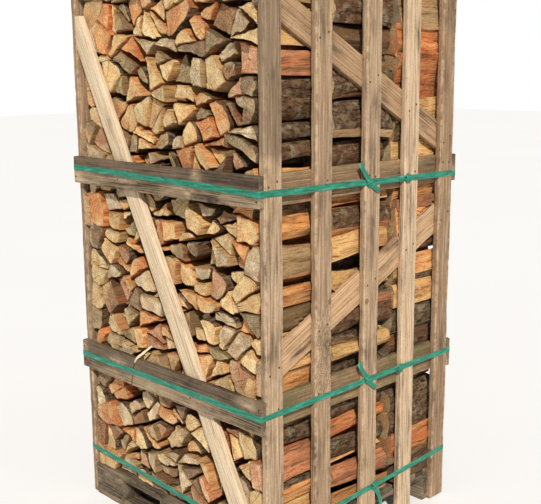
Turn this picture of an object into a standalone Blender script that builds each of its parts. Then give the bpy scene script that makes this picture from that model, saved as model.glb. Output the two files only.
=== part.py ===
# Split firewood in a slatted crate on a pallet, tied round with three plastic straps.
# The log ends face -Y, the slatted side panels face +X and -X, and the pallet stands on Z = 0.

from math import pi

import bmesh
import bpy
import numpy as np
from mathutils import Matrix, Vector

# Driving dimensions, in metres
WIDTH = 1.0                     # over the side slats
DEPTH = 1.0                     # over the front and back boards
HEIGHT = 2.045                  # top of the slats and of the top boards
GAP = 0.0003                    # left between pieces that touch
BOARD = 0.022                   # thickness of the crate's boards

SLAT_FOOT = 0.008               # how far the slats end above the ground
SLAT_WIDTH = 0.076
SLAT_CENTRES = (-0.440, -0.2165, 0.024, 0.2345, 0.440)

BOARD_LEVELS = {                # bottom and top of the rails and cross boards
    "lower": (0.530, 0.637),
    "upper": (1.243, 1.343),
    "top": (1.945, HEIGHT),
}
SIDE_BRACES = {                 # (y, z) of both ends on the centre line, and the width
    "lower": ((-0.478, 0.7055), (0.478, 1.1405), 0.100),
    "upper": ((-0.478, 1.8905), (0.478, 1.3830), 0.091),
}
LONG_BRACE = ((-0.4686, 1.800), (0.397, 0.150), 0.076)
LONG_BRACE_TOP = 1.845

PALLET_BOARD = 0.020            # thickness of bottom boards and stringers
BLOCK_HEIGHT = 0.066
DECK_BOARD = 0.022
DECK_WIDTH = 0.100
DECK_COUNT = 7
OUTER_BLOCK = 0.170             # along X
MIDDLE_BLOCK = 0.145
BLOCK_DEPTH = 0.100             # along Y

STRAP_WIDTH = 0.022
STRAP_THICKNESS = 0.0015
STRAPS = {                      # heights at (-X -Y), (+X -Y), (+X +Y), (-X +Y), and the front plane
    "low": ((0.196, 0.158, 0.200, 0.194), 0.478),
    "middle": ((0.584, 0.587, 0.594, 0.586), 0.500),
    "high": ((1.304, 1.289, 1.273, 1.288), 0.500),
}
KNOT_SIZE = (0.010, 0.034, 0.034)
KNOT_BEVEL = 0.003
KNOT_LIFT = 0.0002              # from the strap's inner face
KNOTS = {                       # y, and the angle and length of each loose end
    "low": [(0.055, ((-62, 0.105),))],
    "middle": [(0.012, ((132, 0.090), (-50, 0.058))), (0.190, ())],
    "high": [(0.006, ((133, 0.084), (-40, 0.061))), (0.212, ())],
}
TAIL_WIDTH = 0.021
TAIL_THICKNESS = 0.0014
TAIL_LIFT = 0.0045              # from the strap's inner face to the first loose end
TAIL_STEP = 0.0016              # from each loose end to the next

PILE_TOP = 1.925
PILE_LOGS = 245                 # in each row
LOG_FLATNESS = 1.3              # how much wider than tall the logs are
SITE_CHOICES = 16               # places tried for each log, of which the freest is taken
LOG_ROWS = {                    # first and last y of each row, and its seed
    "front_logs": (-0.4555, -0.1420, 11),
    "middle_logs": (-0.1390, 0.1760, 12),
    "back_logs": (0.1790, 0.4555, 13),
}
RELIEF = (0.010, 0.0215)        # how far a raised log end stands out
FREE_RELIEF = 0.020             # how much further it may do so beside the long brace
BRACE_CLEARANCE = 0.004         # between the long brace and the logs beside it
RELIEF_TAPER = (0.84, 0.92)
RELIEF_SHARE = {"front_logs": 0.75, "middle_logs": 0.0, "back_logs": 0.5}
RAIL_CLEARANCE = 0.066          # height from a rail or side brace to the logs that reach the slats
SIDE_NOTCH = (0.005, 0.016)     # how deep the gaps between logs go in at the pile's sides
TOP_NOTCH = (0.010, 0.028)
STRAIGHTENING = 4               # rounds that turn log corners into straight neighbours
SAME_CORNER = 0.0004            # corners this close are one
DENT = 0.10                     # sine of the deepest dent in a log's section

# Planes worked out from the above
SLAT_PLANE = WIDTH / 2 - BOARD
CROSS_PLANE = DEPTH / 2 - BOARD
PALLET_HALF = SLAT_PLANE - GAP
RAIL_INNER = SLAT_PLANE - BOARD
STRINGER_Z = PALLET_BOARD + GAP + BLOCK_HEIGHT + GAP
DECK_Z = STRINGER_Z + PALLET_BOARD + GAP
DECK_TOP = DECK_Z + DECK_BOARD
PILE_HALF = RAIL_INNER - 2 * GAP
PILE_FOOT = DECK_TOP + GAP

COLOURS = {                     # base colour and roughness
    "pallet wood": ((0.120, 0.085, 0.060), 0.90),
    "weathered slat": ((0.310, 0.235, 0.165), 0.85),
    "tan board": ((0.420, 0.290, 0.190), 0.80),
    "grey board": ((0.180, 0.135, 0.105), 0.88),
    "fresh board": ((0.640, 0.500, 0.340), 0.75),
    "green strap": ((0.020, 0.290, 0.180), 0.35),
    "firewood": ((0.480, 0.270, 0.120), 0.85),
}


def clear_scene():
    for old in list(bpy.data.objects):
        bpy.data.objects.remove(old, do_unlink=True)


def make_material(name):
    colour, roughness = COLOURS[name]
    material = bpy.data.materials.new(name)
    material.use_nodes = True
    shader = material.node_tree.nodes["Principled BSDF"]
    shader.inputs["Base Color"].default_value = (*colour, 1.0)
    shader.inputs["Roughness"].default_value = roughness
    shader.inputs["Metallic"].default_value = 0.0
    return material


def add_part(name, data, material):
    part = bpy.data.objects.new(name, data)
    data.materials.append(material)
    crate.objects.link(part)
    return part


def add_box(name, low, high, material):
    """A sawn board or block between two corners."""
    size = [b - a for a, b in zip(low, high)]
    middle = [(a + b) / 2 for a, b in zip(low, high)]
    bm = bmesh.new()
    bmesh.ops.create_cube(bm, size=1.0, matrix=Matrix.Diagonal((*size, 1.0)))
    mesh = bpy.data.meshes.new(name)
    bm.to_mesh(mesh)
    bm.free()
    part = add_part(name, mesh, material)
    part.location = middle
    return part


def clip(outline, point, normal):
    """The part of a convex outline that lies behind a line, whose normal points to the part cut off."""
    kept = []
    for a, b in zip(outline, outline[1:] + outline[:1]):
        side_a = (a - point) @ normal
        side_b = (b - point) @ normal
        if side_a <= 0:
            kept.append(a)
        if side_a * side_b < 0:
            kept.append(a + (b - a) * side_a / (side_a - side_b))
    return kept


def strip_outline(start, end, width, low, high):
    """A straight board between two points of its centre line, cut to a rectangle."""
    start, end = np.array(start), np.array(end)
    along = (end - start) / np.linalg.norm(end - start)
    across = np.array((-along[1], along[0])) * width / 2
    start, end = start - along * width, end + along * width
    outline = [start - across, end - across, end + across, start + across]
    for axis in (0, 1):
        normal = np.eye(2)[axis]
        outline = clip(outline, np.array(low), -normal)
        outline = clip(outline, np.array(high), normal)
    return outline


def add_brace(name, outline, placing, material):
    """A flat board of any outline, as an extruded 2D curve."""
    curve = bpy.data.curves.new(name, "CURVE")
    curve.dimensions = "2D"
    curve.fill_mode = "BOTH"
    curve.extrude = BOARD / 2 - GAP
    spline = curve.splines.new("POLY")
    spline.points.add(len(outline) - 1)
    for point, (across, up) in zip(spline.points, outline):
        point.co = (across, up, 0.0, 1.0)
    spline.use_cyclic_u = True
    part = add_part(name, curve, material)
    part.matrix_world = placing
    return part


def build_pallet():
    wood = make_material("pallet wood")
    rows = [-PALLET_HALF + BLOCK_DEPTH / 2, 0.0, PALLET_HALF - BLOCK_DEPTH / 2]
    columns = [
        (-PALLET_HALF, -PALLET_HALF + OUTER_BLOCK),
        (-MIDDLE_BLOCK / 2, MIDDLE_BLOCK / 2),
        (PALLET_HALF - OUTER_BLOCK, PALLET_HALF),
    ]
    for i, y in enumerate(rows):
        y0, y1 = y - BLOCK_DEPTH / 2, y + BLOCK_DEPTH / 2
        name = f"pallet_bottom_board_{i + 1}"
        add_box(name, (-PALLET_HALF, y0, 0.0), (PALLET_HALF, y1, PALLET_BOARD), wood)
        for j, (x0, x1) in enumerate(columns):
            foot = PALLET_BOARD + GAP
            add_box(f"pallet_block_{3 * i + j + 1}", (x0, y0, foot), (x1, y1, foot + BLOCK_HEIGHT), wood)
    for j, (x0, x1) in enumerate(columns):
        low = (x0, -PALLET_HALF, STRINGER_Z)
        add_box(f"pallet_stringer_{j + 1}", low, (x1, PALLET_HALF, STRINGER_Z + PALLET_BOARD), wood)
    pitch = (2 * PALLET_HALF - DECK_WIDTH) / (DECK_COUNT - 1)
    for i in range(DECK_COUNT):
        y0 = -PALLET_HALF + i * pitch
        low = (-PALLET_HALF, y0, DECK_Z)
        add_box(f"pallet_deck_board_{i + 1}", low, (PALLET_HALF, y0 + DECK_WIDTH, DECK_TOP), wood)


def build_side_panel(side, turn):
    """Five slats with rails and braces on their inner face. The left panel is the right one turned round."""
    slat_wood = make_material("weathered slat")
    board_wood = make_material("tan board")

    def turned_box(name, low, high, material):
        part = add_box(name, low, high, material)
        part.matrix_world = turn @ Matrix.Translation(part.location)

    reach = CROSS_PLANE
    for i, centre in enumerate(SLAT_CENTRES):
        y0 = max(centre - SLAT_WIDTH / 2, -reach)
        y1 = min(centre + SLAT_WIDTH / 2, reach)
        turned_box(f"{side}_slat_{i + 1}", (SLAT_PLANE, y0, SLAT_FOOT), (WIDTH / 2, y1, HEIGHT), slat_wood)
    for level, (z0, z1) in BOARD_LEVELS.items():
        low = (RAIL_INNER, -reach + GAP, z0)
        turned_box(f"{side}_rail_{level}", low, (SLAT_PLANE - GAP, reach - GAP, z1), board_wood)
    bays = {
        "lower": (BOARD_LEVELS["lower"][1], BOARD_LEVELS["upper"][0]),
        "upper": (BOARD_LEVELS["upper"][1], BOARD_LEVELS["top"][0]),
    }
    upright = Matrix(((0, 0, 1, SLAT_PLANE - BOARD / 2), (1, 0, 0, 0), (0, 1, 0, 0), (0, 0, 0, 1)))
    for level, (start, end, width) in SIDE_BRACES.items():
        floor, ceiling = bays[level]
        outline = strip_outline(start, end, width, (-reach + GAP, floor + GAP), (reach - GAP, ceiling - GAP))
        add_brace(f"{side}_brace_{level}", outline, turn @ upright, board_wood)


def build_end(end, turn):
    """Three cross boards over a long brace. The back is the front turned round."""
    board_wood = make_material("grey board")
    for level, (z0, z1) in BOARD_LEVELS.items():
        low = (-WIDTH / 2, -DEPTH / 2, z0)
        part = add_box(f"{end}_board_{level}", low, (WIDTH / 2, -CROSS_PLANE - GAP, z1), board_wood)
        part.matrix_world = turn @ Matrix.Translation(part.location)
    start, finish, width = LONG_BRACE
    reach = SLAT_PLANE - GAP
    outline = strip_outline(start, finish, width, (-reach, PILE_FOOT), (reach, LONG_BRACE_TOP))
    upright = Matrix(((1, 0, 0, 0), (0, 0, -1, -CROSS_PLANE + BOARD / 2), (0, 1, 0, 0), (0, 0, 0, 1)))
    add_brace(f"{end}_brace", outline, turn @ upright, make_material("fresh board"))


def strap_height(heights, y):
    """Height of the strap's middle on the +X side."""
    return heights[1] + (heights[2] - heights[1]) * (y + DEPTH / 2) / DEPTH


def add_strap(level, heights, half_y, material):
    """A taut flat band round the crate with its knots and loose ends, joined as one body."""
    name = f"strap_{level}"
    x, y = WIDTH / 2 + GAP, half_y + GAP
    corners = zip((-x, x, x, -x), (-y, -y, y, y), heights)
    bm = bmesh.new()
    low = [bm.verts.new((x, y, z - STRAP_WIDTH / 2)) for x, y, z in corners]
    edges = [bm.edges.new((a, b)) for a, b in zip(low, low[1:] + low[:1])]
    grown = bmesh.ops.extrude_edge_only(bm, edges=edges)["geom"]
    high = [item for item in grown if isinstance(item, bmesh.types.BMVert)]
    bmesh.ops.translate(bm, vec=(0, 0, STRAP_WIDTH), verts=high)
    bmesh.ops.recalc_face_normals(bm, faces=bm.faces[:])
    mesh = bpy.data.meshes.new(name)
    bm.to_mesh(mesh)
    bm.free()
    strap = add_part(name, mesh, material)
    thicken = strap.modifiers.new("Thickness", "SOLIDIFY")
    thicken.thickness = STRAP_THICKNESS
    thicken.offset = 1.0
    thicken.use_even_offset = True
    for i, (y, tails) in enumerate(KNOTS[level]):
        join_knot(strap, f"{name}_knot_{i + 1}", y, strap_height(heights, y), tails)


def join_knot(strap, name, y, z, tails):
    """Unites a knot and its loose ends with the strap."""
    face = WIDTH / 2 + GAP
    bm = bmesh.new()
    middle = Matrix.Translation((face + KNOT_SIZE[0] / 2 + KNOT_LIFT, y, z))
    bmesh.ops.create_cube(bm, size=1.0, matrix=middle @ Matrix.Diagonal((*KNOT_SIZE, 1.0)))
    bmesh.ops.bevel(bm, geom=bm.edges[:], offset=KNOT_BEVEL, segments=1, affect="EDGES", profile=0.5)
    knots = [(name, bm)]
    for i, (angle, length) in enumerate(tails):
        bm = bmesh.new()
        lean = Matrix.Rotation(angle * pi / 180, 4, "X")
        root = Matrix.Translation((face + TAIL_LIFT + TAIL_STEP * i, y, z))
        out = root @ lean @ Matrix.Translation((0, length / 2, 0))
        size = (TAIL_THICKNESS, length, TAIL_WIDTH)
        bmesh.ops.create_cube(bm, size=1.0, matrix=out @ Matrix.Diagonal((*size, 1.0)))
        knots.append((f"{name}_end_{i + 1}", bm))
    for label, bm in knots:
        mesh = bpy.data.meshes.new(label)
        bm.to_mesh(mesh)
        bm.free()
        piece = bpy.data.objects.new(label, mesh)
        piece.hide_render = True
        piece.display_type = "WIRE"
        cutters.objects.link(piece)
        union = strap.modifiers.new(label, "BOOLEAN")
        union.operation = "UNION"
        union.solver = "EXACT"
        union.object = piece


def log_sites(rng, low, high):
    """Middles of the logs in one row, spread evenly but without any order."""
    sites = rng.uniform(low, high, (1, 2))
    while len(sites) < PILE_LOGS:
        tries = rng.uniform(low, high, (SITE_CHOICES, 2))
        room = [np.linalg.norm(sites - place, axis=1).min() for place in tries]
        sites = np.vstack((sites, tries[int(np.argmax(room))]))
    return sites


def log_cells(y0, y1, seed):
    """Splits a row's cross section into log sections: shared corners, and each section's corners in order."""
    rng = np.random.default_rng(seed)
    scale = np.array((1.0, LOG_FLATNESS))
    low, high = np.array((-PILE_HALF, PILE_FOOT)) * scale, np.array((PILE_HALF, PILE_TOP)) * scale
    places = log_sites(rng, low, high)
    corners, cells = [], []
    for place in places:
        outline = [low, np.array((high[0], low[1])), high, np.array((low[0], high[1]))]
        distances = np.linalg.norm(places - place, axis=1)
        for k in np.argsort(distances)[1:25]:
            away = places[k] - place
            outline = clip(outline, place + away / 2, away)
        cell = []
        for point in outline:
            gaps = np.linalg.norm(np.array(corners) - point, axis=1) if corners else np.array([HEIGHT])
            if gaps.min() > SAME_CORNER:
                corners.append(point)
                cell.append(len(corners) - 1)
            elif int(gaps.argmin()) not in cell:
                cell.append(int(gaps.argmin()))
        if len(cell) > 2:
            cells.append(cell)
    corners = [point / scale for point in corners]
    straighten(corners, cells)
    loosen_rim(corners, cells, rng, y0, y1)
    return corners, cells


def on_edge(point):
    """Whether a corner lies on the pile's left, right, lower and upper edge."""
    return (
        abs(point[0] + PILE_HALF) < GAP,
        abs(point[0] - PILE_HALF) < GAP,
        abs(point[1] - PILE_FOOT) < GAP,
        abs(point[1] - PILE_TOP) < GAP,
    )


def is_sound(corners, cell):
    """True if a section turns the same way at all its corners, apart from slight dents."""
    points = [corners[k] for k in cell]
    for before, here, after in zip(points[-1:] + points[:-1], points, points[1:] + points[:1]):
        a, b = here - before, after - here
        if a[0] * b[1] - a[1] * b[0] < -DENT * np.linalg.norm(a) * np.linalg.norm(b):
            return False
    return True


def move_corner(corners, k, shift, around):
    """Moves a shared corner, by less where the full step would fold one of the sections round it."""
    start = corners[k]
    for share in (1.0, 0.5, 0.25):
        corners[k] = start + shift * share
        if all(is_sound(corners, cell) for cell in around):
            return
    corners[k] = start


def sections_round(cells):
    around = {}
    for cell in cells:
        for k in cell:
            around.setdefault(k, []).append(cell)
    return around


def straighten(corners, cells):
    """Moves each inner corner towards the line between its two most opposite neighbours."""
    neighbours = {}
    for cell in cells:
        for a, b in zip(cell, cell[1:] + cell[:1]):
            neighbours.setdefault(a, set()).add(b)
            neighbours.setdefault(b, set()).add(a)
    opposite = {}
    for k, near in neighbours.items():
        if len(near) != 3 or any(on_edge(corners[k])):
            continue
        near = sorted(near)
        arms = [(corners[n] - corners[k]) / np.linalg.norm(corners[n] - corners[k]) for n in near]
        pairs = [(arms[0] @ arms[1], 0, 1), (arms[0] @ arms[2], 0, 2), (arms[1] @ arms[2], 1, 2)]
        _, i, j = min(pairs)
        opposite[k] = (near[i], near[j])
    around = sections_round(cells)
    for _ in range(STRAIGHTENING):
        for k, (a, b) in opposite.items():
            along = corners[b] - corners[a]
            share = (corners[k] - corners[a]) @ along / (along @ along)
            foot = corners[a] + along * min(max(share, 0.15), 0.85)
            move_corner(corners, k, 0.5 * (foot - corners[k]), around[k])


def side_room(z, side, y0, y1):
    """How far past the rails a row of logs may reach at a height, where no rail or side brace is near."""
    taken = list(BOARD_LEVELS.values())
    for start, end, width in SIDE_BRACES.values():
        rise = (end[1] - start[1]) / (end[0] - start[0])
        half = width / 2 * (1 + rise * rise) ** 0.5
        heights = [start[1] + (side * y - start[0]) * rise for y in (y0, y1)]
        taken.append((min(heights) - half, max(heights) + half))
    near = any(low - RAIL_CLEARANCE < z < high + RAIL_CLEARANCE for low, high in taken)
    return 0.0 if near else SLAT_PLANE - GAP - PILE_HALF


def loosen_rim(corners, cells, rng, y0, y1):
    """Spreads the logs at the sides out to the slats, and draws the joints between logs in along the rim."""
    rim = [k for k in range(len(corners)) if any(on_edge(corners[k]))]
    inner = len(corners)
    for cell in cells:
        for a, b in list(zip(cell, cell[1:] + cell[:1])):
            if any(x and y for x, y in zip(on_edge(corners[a]), on_edge(corners[b]))):
                corners.append((corners[a] + corners[b]) / 2)
                cell.insert(cell.index(a) + 1, len(corners) - 1)
    around = sections_round(cells)
    for k in list(range(inner, len(corners))) + rim:
        left, right, foot, top = on_edge(corners[k])
        side = float(right) - float(left)
        across, down = 0.0, 0.0
        if side and not foot:
            across = side_room(corners[k][1], side, y0, y1)
        if k < inner:
            notch, sink = rng.uniform(*SIDE_NOTCH), rng.uniform(*TOP_NOTCH)
            across -= 0.0 if foot else notch
            down = sink if top else 0.0
        move_corner(corners, k, np.array((across * side, -down)), around[k])


def beside_brace(points, facing):
    """True if a log's section keeps clear of the long brace that lies over the pile."""
    start, end, width = LONG_BRACE
    along = np.array(end) - np.array(start)
    across = np.array((-along[1], along[0])) / np.linalg.norm(along)
    offsets = [(np.array((-facing * x, z)) - np.array(start)) @ across for x, z in points]
    reach = width / 2 + BRACE_CLEARANCE
    return min(offsets) > reach or max(offsets) < -reach


def add_log_row(name, y0, y1, seed, material):
    """One row of stacked logs as a closed solid, with many of the log ends raised on its outer face."""
    corners, cells = log_cells(y0, y1, seed)
    rng = np.random.default_rng(seed + 100)
    facing = 1.0 if name == "back_logs" else -1.0
    outer, inner = (y1, y0) if facing > 0 else (y0, y1)
    share = RELIEF_SHARE[name]
    base = outer - facing * (RELIEF[1] if share else 0.0)
    bm = bmesh.new()
    verts = [bm.verts.new((x, base, z)) for x, z in corners]
    faces = [bm.faces.new([verts[k] for k in cell]) for cell in cells]
    if share == 0.0:
        bmesh.ops.dissolve_faces(bm, faces=bm.faces[:])
        faces = []
    rim = [edge for edge in bm.edges if len(edge.link_faces) == 1]
    grown = bmesh.ops.extrude_edge_only(bm, edges=rim)["geom"]
    for vert in (item for item in grown if isinstance(item, bmesh.types.BMVert)):
        vert.co.y = inner
    bmesh.ops.contextual_create(bm, geom=[item for item in grown if isinstance(item, bmesh.types.BMEdge)])
    bmesh.ops.recalc_face_normals(bm, faces=bm.faces[:])
    raised = [face for face in faces if rng.random() < share]
    for face in bmesh.ops.extrude_discrete_faces(bm, faces=raised)["faces"]:
        middle = face.calc_center_median()
        height, taper, extra = rng.uniform(*RELIEF), rng.uniform(*RELIEF_TAPER), rng.uniform(0, FREE_RELIEF)
        if beside_brace([(vert.co.x, vert.co.z) for vert in face.verts], facing):
            height += extra
        for vert in face.verts:
            vert.co = middle + (vert.co - middle) * taper + Vector((0, facing * height, 0))
    mesh = bpy.data.meshes.new(name)
    bm.to_mesh(mesh)
    bm.free()
    add_part(name, mesh, material)


clear_scene()
crate = bpy.data.collections.new("firewood_crate")
cutters = bpy.data.collections.new("cutters")
bpy.context.scene.collection.children.link(crate)
bpy.context.scene.collection.children.link(cutters)

half_turn = Matrix.Rotation(pi, 4, "Z")
build_pallet()
build_side_panel("right", Matrix.Identity(4))
build_side_panel("left", half_turn)
build_end("front", Matrix.Identity(4))
build_end("back", half_turn)
strap_green = make_material("green strap")
for level, (heights, half_y) in STRAPS.items():
    add_strap(level, heights, half_y, strap_green)
firewood = make_material("firewood")
for name, (y0, y1, seed) in LOG_ROWS.items():
    add_log_row(name, y0, y1, seed, firewood)
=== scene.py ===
from math import cos, pi, radians, sin

import bmesh
import bpy
import numpy as np
from mathutils import Matrix, Vector
from mathutils.geometry import convex_hull_2d


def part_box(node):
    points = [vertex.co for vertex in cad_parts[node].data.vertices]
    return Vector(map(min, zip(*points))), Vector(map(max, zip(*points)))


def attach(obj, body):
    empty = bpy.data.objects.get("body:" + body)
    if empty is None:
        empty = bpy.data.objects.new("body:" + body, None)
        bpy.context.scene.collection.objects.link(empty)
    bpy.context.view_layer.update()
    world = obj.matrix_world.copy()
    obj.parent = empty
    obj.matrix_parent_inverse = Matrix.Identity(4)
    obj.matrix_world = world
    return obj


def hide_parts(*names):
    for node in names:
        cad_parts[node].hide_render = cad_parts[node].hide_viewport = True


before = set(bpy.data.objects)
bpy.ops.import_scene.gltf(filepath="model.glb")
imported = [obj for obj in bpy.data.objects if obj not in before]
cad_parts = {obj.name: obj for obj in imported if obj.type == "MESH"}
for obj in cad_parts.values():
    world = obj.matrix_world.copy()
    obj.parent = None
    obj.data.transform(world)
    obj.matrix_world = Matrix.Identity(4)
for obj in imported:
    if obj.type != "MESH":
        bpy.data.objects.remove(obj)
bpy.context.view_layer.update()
print("crate frame loaded:", len(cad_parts), "pieces")

# Planes of the crate, read from its solids
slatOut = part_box("right_slat_1")[1].x        # outer face of the slats
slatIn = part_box("right_slat_1")[0].x         # and the face that rails and braces lie on
boardOut = -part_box("front_board_lower")[0].y
crossIn = -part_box("front_brace")[0].y
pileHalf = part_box("right_rail_lower")[0].x - 0.0006     # how far the log rows reach to each side
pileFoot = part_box("front_logs")[0].z
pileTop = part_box("front_logs")[1].z
touchGap = 0.0003                            # between a piece and what it lies on


# Small helpers for nodes

def shade(red, green, blue):
    # a screen colour in 0-255 as Blender's linear colour
    parts = [v / 255 for v in (red, green, blue)]
    return tuple(v / 12.92 if v <= 0.04045 else ((v + 0.055) / 1.055) ** 2.4 for v in parts) + (1.0,)


def put(tree, kind, inputs=None, **settings):
    made = tree.nodes.new("ShaderNode" + kind)
    count = len(tree.nodes)
    made.location = (230 * (count % 10), -320 * (count // 10))
    for key, value in settings.items():
        setattr(made, key, value)
    for key, value in (inputs or {}).items():
        if isinstance(value, bpy.types.NodeSocket):
            tree.links.new(value, made.inputs[key])
        else:
            made.inputs[key].default_value = value
    return made


def maths(tree, how, a, b=0.0, c=0.0):
    inputs = {0: a, 1: b} if how != "MULTIPLY_ADD" else {0: a, 1: b, 2: c}
    return put(tree, "Math", inputs, operation=how).outputs[0]


def times(tree, a, b):
    return maths(tree, "MULTIPLY", a, b)


def remap(tree, value, low, high, start=0.0, end=1.0):
    inputs = {"Value": value, "From Min": low, "From Max": high, "To Min": start, "To Max": end}
    return put(tree, "MapRange", inputs, interpolation_type="SMOOTHSTEP").outputs["Result"]


def mix(tree, share, first, second):
    return put(tree, "Mix", {0: share, 6: first, 7: second}, data_type="RGBA").outputs[2]


def cover(tree, colour, *layers):
    # lays shades over a colour: where, how strongly, and the shade
    for where, strength, over in layers:
        colour = mix(tree, times(tree, where, strength), colour, over)
    return colour


def tint(tree, colour, *layers):
    # the same where a value runs from its first limit to its second one
    for value, low, high, strength, over in layers:
        colour = mix(tree, remap(tree, value, low, high, 0.0, strength), colour, over)
    return colour


def stretch(tree, vector, scales):
    return put(tree, "VectorMath", {0: vector, 1: scales}, operation="MULTIPLY").outputs[0]


def moved(tree, vector, by):
    return put(tree, "VectorMath", {0: vector, 1: by}, operation="ADD").outputs[0]


def noise(tree, vector, scale=1.0, detail=3.0, roughness=0.55):
    inputs = {"Vector": vector, "Scale": scale, "Detail": detail, "Roughness": roughness}
    return put(tree, "TexNoise", inputs).outputs["Fac"]


def attribute(tree, name, output="Fac"):
    return put(tree, "Attribute", attribute_name=name).outputs[output]


def newGroup(name, inputs, outputs):
    group = bpy.data.node_groups.new(name, "ShaderNodeTree")
    for label, kind, value in inputs:
        socket = group.interface.new_socket(name=label, in_out="INPUT", socket_type="NodeSocket" + kind)
        if value is not None:
            socket.default_value = value
    for label, kind in outputs:
        group.interface.new_socket(name=label, in_out="OUTPUT", socket_type="NodeSocket" + kind)
    given = group.nodes.new("NodeGroupInput").outputs
    result = group.nodes.new("NodeGroupOutput").inputs
    return group, given, result


def useGroup(tree, group, inputs):
    made = put(tree, "Group", node_tree=group)
    for key, value in inputs.items():
        if isinstance(value, bpy.types.NodeSocket):
            tree.links.new(value, made.inputs[key])
        else:
            made.inputs[key].default_value = value
    return made.outputs


def newMaterial(name, **fixed):
    material = bpy.data.materials.new(name)
    material.use_nodes = True
    shader = material.node_tree.nodes["Principled BSDF"]
    for label, value in fixed.items():
        shader.inputs[label.replace("_", " ")].default_value = value
    return material, material.node_tree, shader


def connect(tree, shader, colour, roughness, height, strength, distance):
    bump = put(tree, "Bump", {"Height": height, "Strength": strength, "Distance": distance})
    tree.links.new(colour, shader.inputs["Base Color"])
    tree.links.new(roughness, shader.inputs["Roughness"])
    tree.links.new(bump.outputs["Normal"], shader.inputs["Normal"])


# Shared effects

def buildPlankGrain():
    # growth rings round a heart below the board, fibres along it, and a few round knots
    inputs = [("Place", "Vector", None), ("Ring Gap", "Float", 0.006), ("Sway", "Float", 0.02),
              ("Knots", "Float", 0.4)]
    outputs = [("Ring", "Float"), ("Fibre", "Float"), ("Knot", "Float")]
    group, given, result = newGroup("plankGrain", inputs, outputs)
    axes = put(group, "SeparateXYZ", {0: given["Place"]}).outputs
    knotScale = (2.6, 9.0, 0.0)
    flat = stretch(group, given["Place"], knotScale)
    spots = put(group, "TexVoronoi", {"Vector": flat, "Scale": 1.0}, voronoi_dimensions="2D").outputs
    away = put(group, "VectorMath", {0: flat, 1: spots["Position"]}, operation="SUBTRACT").outputs[0]
    away = stretch(group, away, (1 / knotScale[0], 1 / knotScale[1], 0.0))
    away = put(group, "VectorMath", {0: away}, operation="LENGTH").outputs["Value"]
    chance = put(group, "SeparateColor", {0: spots["Color"]}).outputs
    present = maths(group, "LESS_THAN", chance["Red"], given["Knots"])
    radius = maths(group, "MULTIPLY_ADD", chance["Green"], 0.007, 0.006)
    near = maths(group, "DIVIDE", away, radius)
    knot = times(group, remap(group, near, 1.25, 0.8), present)
    bulge = times(group, remap(group, away, 0.055, 0.0), present)
    drift = noise(group, stretch(group, given["Place"], (1.3, 9.0, 9.0)), detail=2.0)
    wobble = maths(group, "SUBTRACT", drift, 0.5)
    below = maths(group, "ADD", axes["Z"], 0.035)
    across = maths(group, "POWER", axes["Y"], 2.0)
    radial = maths(group, "SQRT", maths(group, "ADD", across, maths(group, "POWER", below, 2.0)))
    radial = maths(group, "MULTIPLY_ADD", wobble, given["Sway"], radial)
    radial = maths(group, "MULTIPLY_ADD", bulge, 0.016, radial)
    phase = maths(group, "DIVIDE", radial, given["Ring Gap"])
    knotPhase = times(group, away, 900.0)
    turns = put(group, "Mix", {0: knot, 2: times(group, phase, 2 * pi), 3: knotPhase}).outputs[0]
    wave = maths(group, "MULTIPLY_ADD", maths(group, "SINE", turns), 0.5, 0.5)
    group.links.new(maths(group, "POWER", wave, 2.2), result["Ring"])
    fine = noise(group, stretch(group, given["Place"], (5.0, 210.0, 210.0)), detail=4.0, roughness=0.65)
    group.links.new(remap(group, fine, 0.30, 0.70), result["Fibre"])
    group.links.new(knot, result["Knot"])
    return group


def buildStain():
    # a soft patchy mask, such as dirt, damp or moss
    inputs = [("Place", "Vector", None), ("Scale", "Float", 6.0), ("Share", "Float", 0.5),
              ("Soft", "Float", 0.12)]
    group, given, result = newGroup("stain", inputs, [("Mask", "Float")])
    cloud = noise(group, given["Place"], detail=5.0, roughness=0.62)
    group.links.new(given["Scale"], cloud.node.inputs["Scale"])
    middle = maths(group, "MULTIPLY_ADD", given["Share"], -0.5, 0.75)
    low = maths(group, "SUBTRACT", middle, given["Soft"])
    high = maths(group, "ADD", middle, given["Soft"])
    group.links.new(remap(group, cloud, low, high), result["Mask"])
    return group


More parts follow.
